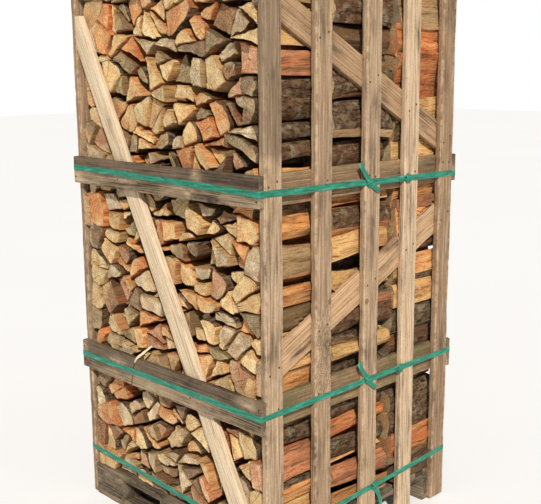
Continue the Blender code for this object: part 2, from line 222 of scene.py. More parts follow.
def buildLogRings():
    # the sawn end of a log: growth rings, drying cracks that run out from the heart, and saw marks
    inputs = [("Heart", "Vector", None), ("Seed", "Float", 0.0)]
    outputs = [("Ring", "Float"), ("Crack", "Float"), ("Saw", "Float"), ("Radius", "Float")]
    group, given, result = newGroup("logRings", inputs, outputs)
    axes = put(group, "SeparateXYZ", {0: given["Heart"]}).outputs
    flat = put(group, "CombineXYZ", {0: axes["X"], 1: axes["Z"], 2: given["Seed"]}).outputs[0]
    wobble = maths(group, "SUBTRACT", noise(group, flat, scale=14.0, detail=2.0), 0.5)
    radius = maths(group, "POWER", axes["X"], 2.0)
    radius = maths(group, "SQRT", maths(group, "ADD", radius, maths(group, "POWER", axes["Z"], 2.0)))
    bent = maths(group, "MULTIPLY_ADD", wobble, 0.010, radius)
    fine = maths(group, "SINE", times(group, bent, 2 * pi / 0.0034))
    broad = maths(group, "SINE", times(group, bent, 2 * pi / 0.0105))
    ring = maths(group, "MULTIPLY_ADD", fine, 0.28, 0.5)
    group.links.new(maths(group, "MULTIPLY_ADD", broad, 0.22, ring), result["Ring"])
    angle = maths(group, "ARCTAN2", axes["Z"], axes["X"])
    spokes = maths(group, "MULTIPLY_ADD", given["Seed"], 40.0, times(group, angle, 2.6))
    spokes = maths(group, "MULTIPLY_ADD", wobble, 0.5, spokes)
    lines = put(group, "TexNoise", {"W": spokes, "Scale": 1.0, "Detail": 1.5}, noise_dimensions="1D")
    lines = lines.outputs["Fac"]
    thin = remap(group, maths(group, "ABSOLUTE", maths(group, "SUBTRACT", lines, 0.53)), 0.012, 0.003)
    group.links.new(thin, result["Crack"])
    turn = times(group, given["Seed"], 18.0)
    along = times(group, axes["X"], maths(group, "COSINE", turn))
    along = maths(group, "ADD", along, times(group, axes["Z"], maths(group, "SINE", turn)))
    sawLines = times(group, along, 210.0)
    marks = put(group, "TexNoise", {"W": sawLines, "Scale": 1.0}, noise_dimensions="1D")
    group.links.new(marks.outputs["Fac"], result["Saw"])
    group.links.new(radius, result["Radius"])
    return group


plankGrain = buildPlankGrain()
stain = buildStain()
logRings = buildLogRings()


# Finishes

plankFinishes = {
    "slatWood": {
        "base": shade(148, 119, 90), "dark": shade(92, 70, 52), "pale": shade(222, 194, 160),
        "grime": shade(84, 68, 52), "moss": shade(108, 102, 70), "ringGap": 0.0048, "sway": 0.018,
        "knots": 0.26, "ringDepth": 0.34, "fibreDepth": 0.62, "grimeShare": 0.26, "edgeWearAndHighlight": 0.50,
        "roughness": (0.72, 0.92), "relief": 0.60,
    },
    "railWood": {
        "base": shade(138, 108, 82), "dark": shade(88, 64, 46), "pale": shade(214, 176, 134),
        "grime": shade(70, 56, 42), "moss": shade(96, 98, 58), "ringGap": 0.0050, "sway": 0.016,
        "knots": 0.24, "ringDepth": 0.24, "fibreDepth": 0.52, "grimeShare": 0.30, "edgeWearAndHighlight": 0.30,
        "roughness": (0.70, 0.90), "relief": 0.50,
    },
    "boardWood": {
        "base": shade(140, 116, 94), "dark": shade(80, 60, 46), "pale": shade(206, 180, 146),
        "grime": shade(58, 46, 38), "moss": shade(92, 88, 60), "ringGap": 0.0060, "sway": 0.018,
        "knots": 0.30, "ringDepth": 0.28, "fibreDepth": 0.62, "grimeShare": 0.48, "edgeWearAndHighlight": 0.45,
        "roughness": (0.74, 0.94), "relief": 0.70,
    },
    "freshWood": {
        "base": shade(206, 182, 150), "dark": shade(128, 98, 70), "pale": shade(246, 226, 194),
        "grime": shade(132, 104, 76), "moss": shade(150, 136, 96), "ringGap": 0.0040, "sway": 0.014,
        "knots": 0.14, "ringDepth": 0.16, "fibreDepth": 0.55, "grimeShare": 0.16, "edgeWearAndHighlight": 0.25,
        "roughness": (0.66, 0.86), "relief": 0.45,
    },
    "palletWood": {
        "base": shade(126, 108, 88), "dark": shade(68, 54, 42), "pale": shade(176, 154, 126),
        "grime": shade(46, 38, 30), "moss": shade(78, 76, 54), "ringGap": 0.0060, "sway": 0.018,
        "knots": 0.30, "ringDepth": 0.30, "fibreDepth": 0.58, "grimeShare": 0.56, "edgeWearAndHighlight": 0.35,
        "roughness": (0.78, 0.95), "relief": 0.75,
    },
}


def patches(tree, place, scale, share, soft):
    inputs = {"Place": place, "Scale": scale, "Share": share, "Soft": soft}
    return useGroup(tree, stain, inputs)["Mask"]


def makePlankWood(name):
    look = plankFinishes[name]
    material, tree, shader = newMaterial(name, Specular_IOR_Level=0.25)
    place = attribute(tree, "grain", "Vector")
    grain = useGroup(tree, plankGrain, {
        "Place": place, "Ring Gap": look["ringGap"], "Sway": look["sway"], "Knots": look["knots"]})
    colour = mix(tree, attribute(tree, "boardTone"), look["base"], look["pale"])
    colour = mix(tree, times(tree, grain["Ring"], look["ringDepth"]), colour, look["dark"])
    lines = remap(tree, grain["Fibre"], 0.55, 0.0, 0.0, look["fibreDepth"])
    colour = mix(tree, lines, colour, look["dark"])
    paleLines = remap(tree, grain["Fibre"], 0.65, 1.0, 0.0, look["fibreDepth"] * 0.7)
    colour = mix(tree, paleLines, colour, look["pale"])
    speck = noise(tree, stretch(tree, place, (160.0, 330.0, 330.0)), detail=3.0, roughness=0.7)
    colour = tint(tree, colour, (speck, 0.44, 0.30, 0.60, look["dark"]),
                  (speck, 0.58, 0.74, 0.45, look["pale"]))
    long = stretch(tree, place, (1.0, 3.0, 3.0))
    grime = patches(tree, long, 5.0, look["grimeShare"], 0.14)
    grime = times(tree, grime, remap(tree, grain["Fibre"], 1.0, 0.2, 0.45, 1.0))
    colour = mix(tree, grime, colour, look["grime"])
    # paler along the rounded edges: partly wear, partly a painted highlight where the edges catch the light
    worn = times(tree, attribute(tree, "edge"), look["edgeWearAndHighlight"])
    worn = times(tree, worn, remap(tree, noise(tree, place, scale=40.0), 0.4, 0.6))
    colour = mix(tree, worn, colour, look["pale"])
    scraped = remap(tree, noise(tree, long, scale=30.0, detail=4.0), 0.40, 0.60, 0.30, 0.95)
    colour = mix(tree, times(tree, scraped, attribute(tree, "scrape")), colour, look["pale"])
    mossy = patches(tree, place, 14.0, 0.55, 0.15)
    mossy = times(tree, mossy, attribute(tree, "boardMoss"))
    colour = mix(tree, mossy, colour, look["moss"])
    colour = cover(tree, colour, (grain["Knot"], 0.65, shade(92, 62, 42)))
    dim = maths(tree, "MULTIPLY_ADD", noise(tree, long, scale=9.0), 1.2, attribute(tree, "boardShadow"))
    dim = times(tree, remap(tree, dim, 0.85, 1.25), attribute(tree, "boardShadow"))
    dim = times(tree, dim, maths(tree, "SUBTRACT", 1.0, attribute(tree, "scrape")))
    colour = cover(tree, colour, (dim, 0.7, look["grime"]))
    low, high = look["roughness"]
    roughness = remap(tree, grain["Fibre"], 0.0, 1.0, high, low)
    height = maths(tree, "MULTIPLY_ADD", grain["Ring"], -0.4, grain["Fibre"])
    height = maths(tree, "MULTIPLY_ADD", grime, -0.3, height)
    connect(tree, shader, colour, roughness, height, look["relief"], 0.0012)
    return material


def logPlace(tree, seed, apart):
    # each log's finish is read at a place of its own
    away = put(tree, "CombineXYZ", {1: times(tree, seed, apart)}).outputs[0]
    return moved(tree, attribute(tree, "heart", "Vector"), away)


def makeLogEnd():
    material, tree, shader = newMaterial("logEnd", Specular_IOR_Level=0.2)
    seed = attribute(tree, "logSeed")
    rings = useGroup(tree, logRings, {"Heart": attribute(tree, "heart", "Vector"), "Seed": seed})
    own = attribute(tree, "logColour", "Color")
    other = attribute(tree, "patchColour", "Color")
    place = logPlace(tree, seed, 7.0)
    patch = patches(tree, place, 19.0, 0.50, 0.10)
    colour = mix(tree, times(tree, patch, 0.85), own, other)
    share = maths(tree, "DIVIDE", rings["Radius"], attribute(tree, "reach"))
    share = maths(tree, "MULTIPLY_ADD", noise(tree, place, scale=30.0), 0.3, share)
    colour = tint(tree, colour, (share, 0.85, 1.10, 0.45, shade(236, 212, 160)),
                  (rings["Ring"], 0.45, 1.0, 0.24, shade(120, 80, 46)))
    glow = patches(tree, place, 31.0, 0.36, 0.12)
    colour = cover(tree, colour, (glow, 0.45, shade(204, 122, 66)))
    grey = patches(tree, place, 24.0, 0.40, 0.14)
    colour = cover(tree, colour, (grey, 0.36, shade(124, 104, 74)))
    saw = remap(tree, rings["Saw"], 0.35, 0.65)
    colour = cover(tree, colour, (saw, 0.12, shade(244, 226, 184)))
    speck = noise(tree, place, scale=210.0, detail=4.0, roughness=0.75)
    colour = tint(tree, colour, (speck, 0.52, 0.30, 0.70, shade(66, 44, 28)),
                  (speck, 0.54, 0.72, 0.55, shade(250, 232, 196)))
    rim = maths(tree, "MULTIPLY_ADD", noise(tree, place, scale=60.0), 0.9, attribute(tree, "rim"))
    rim = remap(tree, rim, 0.8, 1.5)
    colour = cover(tree, colour, (rim, 0.55, shade(74, 54, 38)),
                   (rings["Crack"], 0.45, shade(62, 40, 26)))
    height = maths(tree, "MULTIPLY_ADD", saw, 0.35, times(tree, rings["Ring"], 0.25))
    height = maths(tree, "MULTIPLY_ADD", rings["Crack"], -1.0, height)
    height = maths(tree, "MULTIPLY_ADD", speck, 1.6, height)
    roughness = remap(tree, saw, 0.0, 1.0, 0.90, 0.76)
    connect(tree, shader, colour, roughness, height, 0.7, 0.0022)
    return material


def makeLogSplit():
    material, tree, shader = newMaterial("logSplit", Specular_IOR_Level=0.25)
    seed = attribute(tree, "logSeed")
    place = logPlace(tree, seed, 9.0)
    swirl = put(tree, "TexNoise", {"Vector": place, "Scale": 9.0, "Detail": 2.0}).outputs["Color"]
    place = moved(tree, place, stretch(tree, swirl, (0.030, 0.0, 0.030)))
    fine = noise(tree, stretch(tree, place, (230.0, 9.0, 230.0)), detail=4.0, roughness=0.7)
    medium = noise(tree, stretch(tree, place, (60.0, 4.0, 60.0)), detail=4.0, roughness=0.6)
    broad = noise(tree, stretch(tree, place, (15.0, 3.0, 15.0)), detail=3.0)
    own = attribute(tree, "splitColour", "Color")
    colour = tint(tree, own, (medium, 0.40, 0.68, 0.55, attribute(tree, "patchColour", "Color")))
    colour = tint(tree, colour, (broad, 0.50, 0.68, 0.45, shade(176, 92, 46)),
                  (medium, 0.46, 0.30, 0.75, shade(72, 46, 28)))
    colour = tint(tree, colour, (fine, 0.50, 0.28, 0.80, shade(62, 36, 20)),
                  (fine, 0.56, 0.78, 0.55, shade(232, 194, 140)))
    speck = noise(tree, place, scale=240.0, detail=3.0, roughness=0.7)
    colour = tint(tree, colour, (speck, 0.50, 0.30, 0.45, shade(58, 38, 24)))
    dusty = patches(tree, stretch(tree, place, (1.0, 0.4, 1.0)), 16.0, 0.34, 0.12)
    colour = cover(tree, colour, (dusty, 0.5, shade(104, 84, 58)))
    height = maths(tree, "MULTIPLY_ADD", medium, 2.4, fine)
    height = maths(tree, "MULTIPLY_ADD", speck, 0.4, height)
    roughness = remap(tree, fine, 0.3, 0.7, 0.90, 0.72)
    connect(tree, shader, colour, roughness, height, 1.0, 0.0036)
    return material


def makeBark():
    # long broken ridges with dark furrows, grey lichen and a little moss
    material, tree, shader = newMaterial("bark", Specular_IOR_Level=0.15)
    seed = attribute(tree, "logSeed")
    place = logPlace(tree, seed, 9.0)
    bent = put(tree, "TexNoise", {"Vector": place, "Scale": 26.0, "Detail": 4.0}).outputs["Color"]
    warped = moved(tree, place, stretch(tree, bent, (0.026, 0.09, 0.026)))
    ridges = noise(tree, stretch(tree, warped, (110.0, 16.0, 110.0)), detail=5.0, roughness=0.68)
    furrow = remap(tree, ridges, 0.50, 0.36)
    crest = remap(tree, ridges, 0.54, 0.70)
    tone = noise(tree, place, scale=34.0, detail=5.0)
    colour = mix(tree, remap(tree, tone, 0.35, 0.65), shade(78, 56, 40), shade(126, 102, 76))
    colour = tint(tree, colour, (seed, 0.2, 0.8, 0.6, shade(116, 74, 48)))
    colour = cover(tree, colour, (crest, 0.6, shade(158, 136, 108)))
    lichen = patches(tree, place, 28.0, 0.30, 0.06)
    colour = cover(tree, colour, (lichen, 0.55, shade(162, 154, 126)))
    mossy = patches(tree, warped, 13.0, 0.32, 0.08)
    colour = cover(tree, colour, (mossy, 0.5, shade(98, 92, 46)),
                   (furrow, 0.85, shade(30, 20, 14)))
    grit = noise(tree, place, scale=420.0)
    height = maths(tree, "MULTIPLY_ADD", grit, 0.25, remap(tree, ridges, 0.30, 0.72))
    connect(tree, shader, colour, remap(tree, tone, 0.3, 0.7, 0.95, 0.85), height, 1.0, 0.0042)
    return material


def makeStrapPlastic():
    # woven look pressed into the band, with pale streaks along it painted on as sheen
    material, tree, shader = newMaterial("strapPlastic", Specular_IOR_Level=0.45)
    place = attribute(tree, "band", "Vector")
    axes = put(tree, "SeparateXYZ", {0: place}).outputs
    weave = 0.0030                  # distance between the pressed lines
    first, second = (maths(tree, "SINE", times(tree, maths(tree, how, axes["X"], axes["Y"]), 2 * pi / weave))
                     for how in ("ADD", "SUBTRACT"))
    pressed = remap(tree, times(tree, first, second), -0.2, 0.4)
    tone = noise(tree, stretch(tree, place, (14.0, 160.0, 160.0)), detail=3.0)
    colour = mix(tree, remap(tree, tone, 0.35, 0.65), shade(12, 98, 78), shade(34, 142, 114))
    # pale streaks along the band: a painted sheen
    paintedSheen = patches(tree, stretch(tree, place, (1.0, 5.0, 5.0)), 16.0, 0.30, 0.10)
    colour = cover(tree, colour, (paintedSheen, 0.5, shade(92, 186, 156)))
    dirt = patches(tree, place, 30.0, 0.26, 0.12)
    colour = cover(tree, colour, (dirt, 0.35, shade(40, 78, 60)))
    roughness = remap(tree, tone, 0.3, 0.7, 0.34, 0.55)
    connect(tree, shader, colour, roughness, pressed, 0.5, 0.0005)
    return material


def makeSplinterWood():
    material, tree, shader = newMaterial("splinterWood", Specular_IOR_Level=0.25)
    fine = noise(tree, stretch(tree, attribute(tree, "band", "Vector"), (60.0, 900.0, 1.0)), detail=3.0)
    pale = mix(tree, remap(tree, fine, 0.3, 0.7), shade(200, 162, 116), shade(246, 228, 196))
    dark = mix(tree, remap(tree, fine, 0.3, 0.7), shade(38, 25, 17), shade(92, 62, 42))
    colour = mix(tree, attribute(tree, "barky"), pale, dark)
    connect(tree, shader, colour, remap(tree, fine, 0.3, 0.7, 0.9, 0.75), fine, 0.5, 0.0006)
    return material


def makeNailSteel():
    material, tree, shader = newMaterial("nailSteel", Metallic=0.75)
    place = put(tree, "TexCoord").outputs["Object"]
    rust = patches(tree, place, 400.0, 0.6, 0.15)
    colour = mix(tree, rust, shade(96, 92, 88), shade(92, 56, 34))
    connect(tree, shader, colour, remap(tree, rust, 0.0, 1.0, 0.45, 0.85), rust, 0.4, 0.0003)
    return material


def makeFloor():
    material, tree, shader = newMaterial("paleFloor", Specular_IOR_Level=0.1)
    place = put(tree, "TexCoord").outputs["Object"]
    soft = noise(tree, place, scale=0.6, detail=2.0)
    colour = mix(tree, soft, shade(251, 251, 252), shade(254, 254, 254))
    connect(tree, shader, colour, remap(tree, soft, 0.3, 0.7, 0.9, 0.95), soft, 0.05, 0.001)
    return material


# Meshes

def addMesh(name, verts, faces, materials, slots=None, fields=None, sharpAngle=40):
    mesh = bpy.data.meshes.new(name)
    mesh.from_pydata(verts, [], faces)
    for material in materials:
        mesh.materials.append(material)
    if slots is not None:
        mesh.polygons.foreach_set("material_index", slots)
    kinds = {1: ("FLOAT", "value"), 3: ("FLOAT_VECTOR", "vector"), 4: ("FLOAT_COLOR", "color")}
    for label, values in (fields or {}).items():
        values = np.asarray(values, dtype=np.float32).reshape(len(verts), -1)
        kind, key = kinds[values.shape[1]]
        mesh.attributes.new(label, kind, "POINT").data.foreach_set(key, values.ravel())
    mesh.shade_smooth()
    mesh.set_sharp_from_angle(angle=radians(sharpAngle))
    piece = bpy.data.objects.new(name, mesh)
    bpy.context.scene.collection.objects.link(piece)
    return piece


def tubeFaces(stations, around, start=0, flip=False):
    # quads between rings of the same length, facing out where rings run anticlockwise seen from the last
    index = start + np.arange(stations * around).reshape(stations, around)
    after = np.roll(index, -1, axis=1)
    quads = np.stack([index[:-1], after[:-1], after[1:], index[1:]], axis=-1).reshape(-1, 4)
    faces = [tuple(q) for q in (quads[:, ::-1] if flip else quads).tolist()]
    first, last = index[0].tolist(), index[-1].tolist()
    ends = [tuple(first[::-1]), tuple(last)]
    return faces, [end[::-1] for end in ends] if flip else ends


def waves(places, rng, longest, shortest, count=6):
    # smooth disorder between about -0.6 and 0.6
    total, weight = np.zeros_like(places), 0.0
    for length in np.geomspace(longest, shortest, count):
        size = length ** 0.7
        total = total + size * np.sin(2 * pi * places / length + rng.uniform(0, 2 * pi))
        weight += size
    return total / weight


def joinParts(parts):
    # one list of places and one of faces from several
    verts, faces, start = [], [], 0
    for places, more in parts:
        verts.append(places)
        faces += [tuple(k + start for k in face) for face in more]
        start += len(places)
    return np.concatenate(verts), faces


def finishPiece(piece, slot, *nodes):
    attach(piece, "root")
    if nodes:
        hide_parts(*nodes)
    return piece


# Boards

boardShape = {
    "station": 0.018,               # distance between cross sections
    "acrossStep": 0.016,            # and between points across the faces
    "corner": 0.0012,               # least rounding of a sawn edge
    "wear": 0.0022,                 # extra rounding where it is worn
    "roundest": 0.45,               # most of it, as a share of the thickness
    "sideWave": 0.0022,             # how much narrower it gets
    "faceWave": 0.0006,
    "chips": 3.0,                   # dents a metre
    "chipDepth": (0.002, 0.005), "chipReach": (0.006, 0.022),
    "cut": 0.0012,                  # rounding of the sawn ends
    "fray": 0.0007,                 # how unevenly they are sawn
    "sharpAngle": 50,
}


def plankRings(length, width, thickness, rng, wear=1.0):
    # rings of a worn board round its own middle: along X, across Y, thick in Z
    count = max(int(length / boardShape["station"]), 5)
    cut = boardShape["cut"]
    inner = np.linspace(-length / 2 + cut, length / 2 - cut, count)
    along = np.concatenate(([-length / 2], inner, [length / 2]))
    kinds = 2 * [("sideWave", 0.9, 0.05, 0.25)] + 2 * [("faceWave", 0.7, 0.08, 0.2)]
    left, right, low, high = (
        np.clip(waves(along, rng, longest, shortest) + least, 0, None) * boardShape[kind] * wear
        for kind, longest, shortest, least in kinds)
    rounds = []
    for _ in range(4):
        worn = np.clip(waves(along, rng, 0.5, 0.03), 0, None) * boardShape["wear"] * wear * 2
        rounding = boardShape["corner"] + worn
        for _ in range(rng.poisson(boardShape["chips"] * length * wear / 4)):
            spot, reach = rng.uniform(-length / 2, length / 2), rng.uniform(*boardShape["chipReach"])
            chip = rng.uniform(*boardShape["chipDepth"]) * np.exp(-((along - spot) / reach) ** 2)
            rounding = rounding + chip
        rounds.append(np.minimum(rounding, thickness * boardShape["roundest"]))
    y0, y1, z0, z1 = -width / 2 + left, width / 2 - right, -thickness / 2 + low, thickness / 2 - high
    shrink = np.zeros(len(along))
    shrink[[0, -1]] = cut
    y0, y1, z0, z1 = y0 + shrink, y1 - shrink, z0 + shrink, z1 - shrink

    def corner(y, z, inY, inZ, r, upright):
        points = [(y + inY * r, z, 0.6), (y + inY * 0.3 * r, z + inZ * 0.3 * r, 1.0), (y, z + inZ * r, 0.6)]
        return points[::-1] if upright else points

    parts = [corner(y0, z0, 1, 1, rounds[0], True), corner(y1, z0, -1, 1, rounds[1], False),
             corner(y1, z1, -1, -1, rounds[2], True), corner(y0, z1, 1, -1, rounds[3], False)]
    steps = [max(int(width / boardShape["acrossStep"]), 2), 2]
    ring = []
    for k, part in enumerate(parts):
        ring += part
        start, end = part[-1], parts[(k + 1) % 4][0]
        for share in np.linspace(0, 1, steps[k % 2] + 1)[1:-1]:
            y, z = (start[axis] + (end[axis] - start[axis]) * share for axis in (0, 1))
            ring.append((y, z, 0.0))
    places = np.stack([np.stack([along, y, z], axis=-1) for y, z, _ in ring], axis=1)
    edge = np.array([flag for _, _, flag in ring])
    fray = rng.uniform(0, boardShape["fray"], (2, len(ring)))
    places[0, :, 0] += fray[0]
    places[-1, :, 0] -= fray[1]
    return places, edge


def plankFields(places, edge, rng, tone, moss, shadow, swirl=None, scraped=None):
    # what the plank finishes read: grain coordinates, rounded edges painted paler (wear and a painted
    # highlight) and the board's own tone
    stations, around = places.shape[:2]
    flat = places.reshape(-1, 3)
    shift = np.array((rng.uniform(0, 40), rng.uniform(-0.035, 0.035), rng.uniform(0.0, 0.03)))
    count = stations * around
    grain = flat + shift
    if swirl:                       # place along the board, reach, and how far the growth rings rise there
        grain[:, 2] += swirl[2] * np.exp(-((flat[:, 0] - swirl[0]) / swirl[1]) ** 2)
    scrape = np.zeros(count)
    for x, y, long, wide in scraped or ():
        scrape += np.exp(-((flat[:, 0] - x) / long) ** 2 - ((flat[:, 1] - y) / wide) ** 2)
    return {
        "grain": grain, "edge": np.tile(edge, stations), "boardTone": np.full(count, tone),
        "boardMoss": np.full(count, moss), "boardShadow": shadow(flat) if shadow else np.zeros(count),
        "scrape": np.clip(scrape, 0, 1),
    }


def axesOf(node):
    # middle, sizes and directions of a board: along, across and through it
    low, high = (np.array(corner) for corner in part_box(node))
    size = high - low
    thin, middle, long = np.argsort(size)
    along, across = np.eye(3)[long], np.eye(3)[middle]
    return (low + high) / 2, size[[long, middle, thin]], np.array([along, across, np.cross(along, across)])


def boardMesh(node, material, places, fields, directions, centre):
    verts = places.reshape(-1, 3) @ directions + centre
    faces, ends = tubeFaces(*places.shape[:2])
    return addMesh("worn_" + node, verts, faces + ends, [material], fields=fields,
                   sharpAngle=boardShape["sharpAngle"])


def dressBoard(node, material, slot, rng, wear=1.0, tone=None, moss=0.0, shadow=None):
    # a worn board in place of its node
    centre, size, directions = axesOf(node)
    places, edge = plankRings(*size, rng, wear)
    tone = rng.uniform(0.0, 0.7) if tone is None else tone
    fields = plankFields(places, edge, rng, tone, moss, shadow, swirls.get(node), scrapes.get(node))
    piece = boardMesh(node, material, places, fields, directions, centre)
    return finishPiece(piece, slot, node)


def dressBrace(node, material, slot, rng, start, end, width, flat, tone=0.3):
    # a board run past both ends of its line, then sawn off at the faces of its own solid
    low, high = (np.array(corner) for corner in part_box(node))
    start, end = np.array(start), np.array(end)
    across = 1 - flat
    line = end - start
    along = np.zeros(3)
    along[across], along[2] = line / np.linalg.norm(line)
    through = np.eye(3)[flat]
    directions = np.array([along, np.cross(through, along), through])
    centre = (low + high) / 2
    centre[across], centre[2] = (start + end) / 2
    length = np.linalg.norm(line) + 2 * width
    places, edge = plankRings(length, width, high[flat] - low[flat], rng, 0.8)
    fields = plankFields(places, edge, rng, tone, 0.0, None)
    piece = boardMesh(node, material, places, fields, directions, centre)
    bm = bmesh.new()
    bm.from_mesh(piece.data)
    for axis in (across, 2):
        for limit, sign in ((low, -1), (high, 1)):
            geometry, normal = bm.verts[:] + bm.edges[:] + bm.faces[:], Vector(np.eye(3)[axis] * sign)
            cut = bmesh.ops.bisect_plane(bm, geom=geometry, plane_co=Vector(limit), plane_no=normal,
                                         clear_outer=True)["geom_cut"]
            rim = [item for item in cut if isinstance(item, bmesh.types.BMEdge) and len(item.link_faces) == 1]
            if rim:
                bmesh.ops.holes_fill(bm, edges=rim)
    bmesh.ops.recalc_face_normals(bm, faces=bm.faces[:])
    bm.to_mesh(piece.data)
    bm.free()
    piece.data.set_sharp_from_angle(angle=radians(boardShape["sharpAngle"]))
    return finishPiece(piece, slot, node)


levels = {name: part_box(f"front_board_{name}") for name in ("lower", "upper", "top")}
sideBraces = {                      # (y, z) of both ends on the centre line, and the width
    "lower": ((-0.478, 0.7055), (0.478, 1.1405), 0.100),
    "upper": ((-0.478, 1.8905), (0.478, 1.3830), 0.091),
}
braceTones = {"lower": 0.80, "upper": 0.40}
longBrace = ((-0.4686, 1.800), (0.397, 0.150), 0.076)
mossiness = {"lower": 0.6, "upper": 0.25, "top": 0.1}
slatTones = (0.38, 0.20, 0.36, 0.80, 0.05)      # how pale each slat is, from the front one on
swirls = {"right_slat_2": (-0.290, 0.080, 0.060)}    # place along the board, reach, rise of the growth rings
scrapes = {                         # place along and across the board, and reach both ways
    "front_board_upper": ((-0.475, -0.030, 0.035, 0.022), (0.205, 0.030, 0.022, 0.030),
                          (0.170, -0.030, 0.026, 0.026)),
    "front_board_lower": ((-0.490, 0.030, 0.030, 0.025), (-0.270, 0.018, 0.050, 0.016),
                          (0.440, 0.035, 0.050, 0.020), (-0.05, -0.035, 0.060, 0.018)),
}


def turnedLine(points, side):
    # the left and back braces are the right and front ones turned round
    return [(across * side, up) for across, up in points]


def darkTop(flat):
    return np.clip(0.45 + flat[:, 1] / 0.05, 0.0, 0.9)


def greyTop(flat):
    # the corner slat's upper end; the board's middle is at half its height
    return np.clip((flat[:, 0] - 0.30) / 0.12, 0.0, 0.75)


def buildBoards():
    rng = np.random.default_rng(41)
    finishes = {name: makePlankWood(name) for name in plankFinishes}
    for name in sorted(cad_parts):
        if name.startswith("pallet_"):
            dressBoard(name, finishes["palletWood"], "pallet_wood", rng, wear=1.6, moss=0.3)
    for side, sign in (("right", 1), ("left", -1)):
        for i in range(5):
            dressBoard(f"{side}_slat_{i + 1}", finishes["slatWood"], "slat_wood", rng, tone=slatTones[i],
                       shadow=greyTop if i == 0 else None)
        for level in levels:
            dressBoard(f"{side}_rail_{level}", finishes["railWood"], "rail_wood", rng, tone=0.1,
                       moss=mossiness[level])
        for level, (start, end, width) in sideBraces.items():
            start, end = turnedLine((start, end), sign)
            dressBrace(f"{side}_brace_{level}", finishes["railWood"], "rail_wood", rng, start, end, width, 0,
                       tone=braceTones[level])
    for end, sign in (("front", 1), ("back", -1)):
        for level in levels:
            dressBoard(f"{end}_board_{level}", finishes["boardWood"], "board_wood", rng, wear=1.3, tone=0.45,
                       moss=0.25, shadow=darkTop)
        start, finish = turnedLine(longBrace[:2], sign)
        dressBrace(f"{end}_brace", finishes["freshWood"], "fresh_wood", rng, start, finish, longBrace[2], 1)


# The stacked logs

pile = {                            # the same rows and log sections as in the solid rows
    "logs": 245, "flatness": 1.3, "siteChoices": 16, "neighbours": 24,
    "sideNotch": (0.005, 0.016), "topNotch": (0.010, 0.028), "railClearance": 0.066,
    "straightening": 4, "sameCorner": 0.0004, "dent": 0.10,
    "rows": {"front_logs": (-0.4555, -0.1420, 11), "middle_logs": (-0.1390, 0.1760, 12),
             "back_logs": (0.1790, 0.4555, 13)},
}
logShape = {
    "seed": 5,
    "gap": (0.0006, 0.0030),        # room left along each side of a log, and of one at the open sides
    "sideGap": (0.0002, 0.0012),
    "wideGap": (0.004, 0.010), "wideShare": 0.20,
    "join": 0.06, "sideJoin": 0.60,     # share of neighbours that are one log, inside and at the open sides
    "hollow": 1.09,                 # most that their joint hull may be of their own section
    "biggest": 0.0100, "biggestAtSides": 0.0128,    # most of their section, in square metres
    "smallest": 0.0008,             # slivers below this are left out
    "splitAbove": 0.0066, "split": 0.45, "splitLeast": 0.0018,
    "shortSide": 0.005, "flatTurn": 0.16,   # corners nearer or flatter than this are dropped
    "scale": (0.93, 1.01), "turn": 0.07, "shift": 0.0016,   # small changes of the closed-up logs alone
    "bark": 0.60, "moreBark": 0.20, "sideBark": 0.30,   # share with bark, on two sides, on the open side
    "bulge": (0.16, 0.34),          # how round the bark side is
    "chip": (0.0009, 0.0042),       # how much is missing at a corner
    "step": 0.0106,                 # distance between points of a section
    "rings": (5, 15),               # sections along a log, and along one that is seen from the side
    "forward": 0.012,               # how far logs stand out past the others beside the long brace
    "sideForward": 0.018,
    # share of logs, and how far back they lie at least and at most
    "stray": ((0.68, 0.000, 0.009), (0.25, 0.008, 0.022), (0.07, 0.020, 0.070)),
    "sideStray": 0.010,             # the same at the open sides
    "endTilt": 0.075, "lean": 0.004, "sideLean": 0.012, "bend": 0.0040, "twist": 0.05,
    "coarse": 0.0009, "fine": 0.0005, "barkRough": 1.7,     # unevenness, and how much more of it bark has
    "brightness": (0.78, 1.24),
    "dropped": 0.34,                # share of logs that lack a corner
    "shyReach": 0.09,               # how deep the closed-up ends of the two outer rows are
    "closed": 1.05, "meeting": 0.012,   # how much logs grow there, and their open side up and down
    "calm": 0.2,                    # how much they lean and bend, beside the others
    # share of logs whose open side slants or has a ridge and how far it falls back, and of logs set deeper
    "slanted": 0.42, "ridged": 0.34, "recess": (0.008, 0.034), "sunk": 0.22, "sunkDepth": (0.010, 0.034),
    "cracked": 0.32, "crackWidth": (0.0007, 0.0022),
    "bevel": 0.0016,                # rounding where a log is sawn off
    "capRings": (0.22, 0.58, 0.90),     # rings on the sawn end, as shares of its size
    "sharpAngle": 36,
    "atSide": 0.001, "rim": 0.022,  # a section or corner this near a row's end is at the open side
    "railClear": 0.004,             # room to rails and braces
    "relief": 0.0008,               # most that bark and splinters rise or fall
    "endRelief": 0.0008, "endReach": 0.014,     # unevenness of a sawn end, and most that it slants
}
logColours = (                      # end, patches on the end, split face, share
    (shade(244, 216, 162), shade(222, 180, 120), shade(214, 166, 104), 0.22),
    (shade(222, 202, 166), shade(180, 156, 120), shade(186, 146, 98), 0.15),
    (shade(226, 176, 114), shade(244, 208, 148), shade(206, 136, 74), 0.20),
    (shade(212, 132, 74), shade(234, 176, 112), shade(186, 102, 54), 0.16),
    (shade(220, 164, 126), shade(192, 130, 94), shade(180, 114, 74), 0.07),
    (shade(164, 144, 106), shade(126, 108, 76), shade(134, 102, 62), 0.09),
    (shade(134, 110, 86), shade(100, 80, 60), shade(108, 76, 50), 0.07),
    (shade(110, 74, 48), shade(160, 114, 74), shade(84, 54, 36), 0.04),
)


def clip(outline, point, normal):
    # the part of a convex outline behind a line
    kept = []
    for a, b in zip(outline, outline[1:] + outline[:1]):
        sideA, sideB = (a - point) @ normal, (b - point) @ normal
        if sideA <= 0:
            kept.append(a)
        if sideA * sideB < 0:
            kept.append(a + (b - a) * sideA / (sideA - sideB))
    return kept


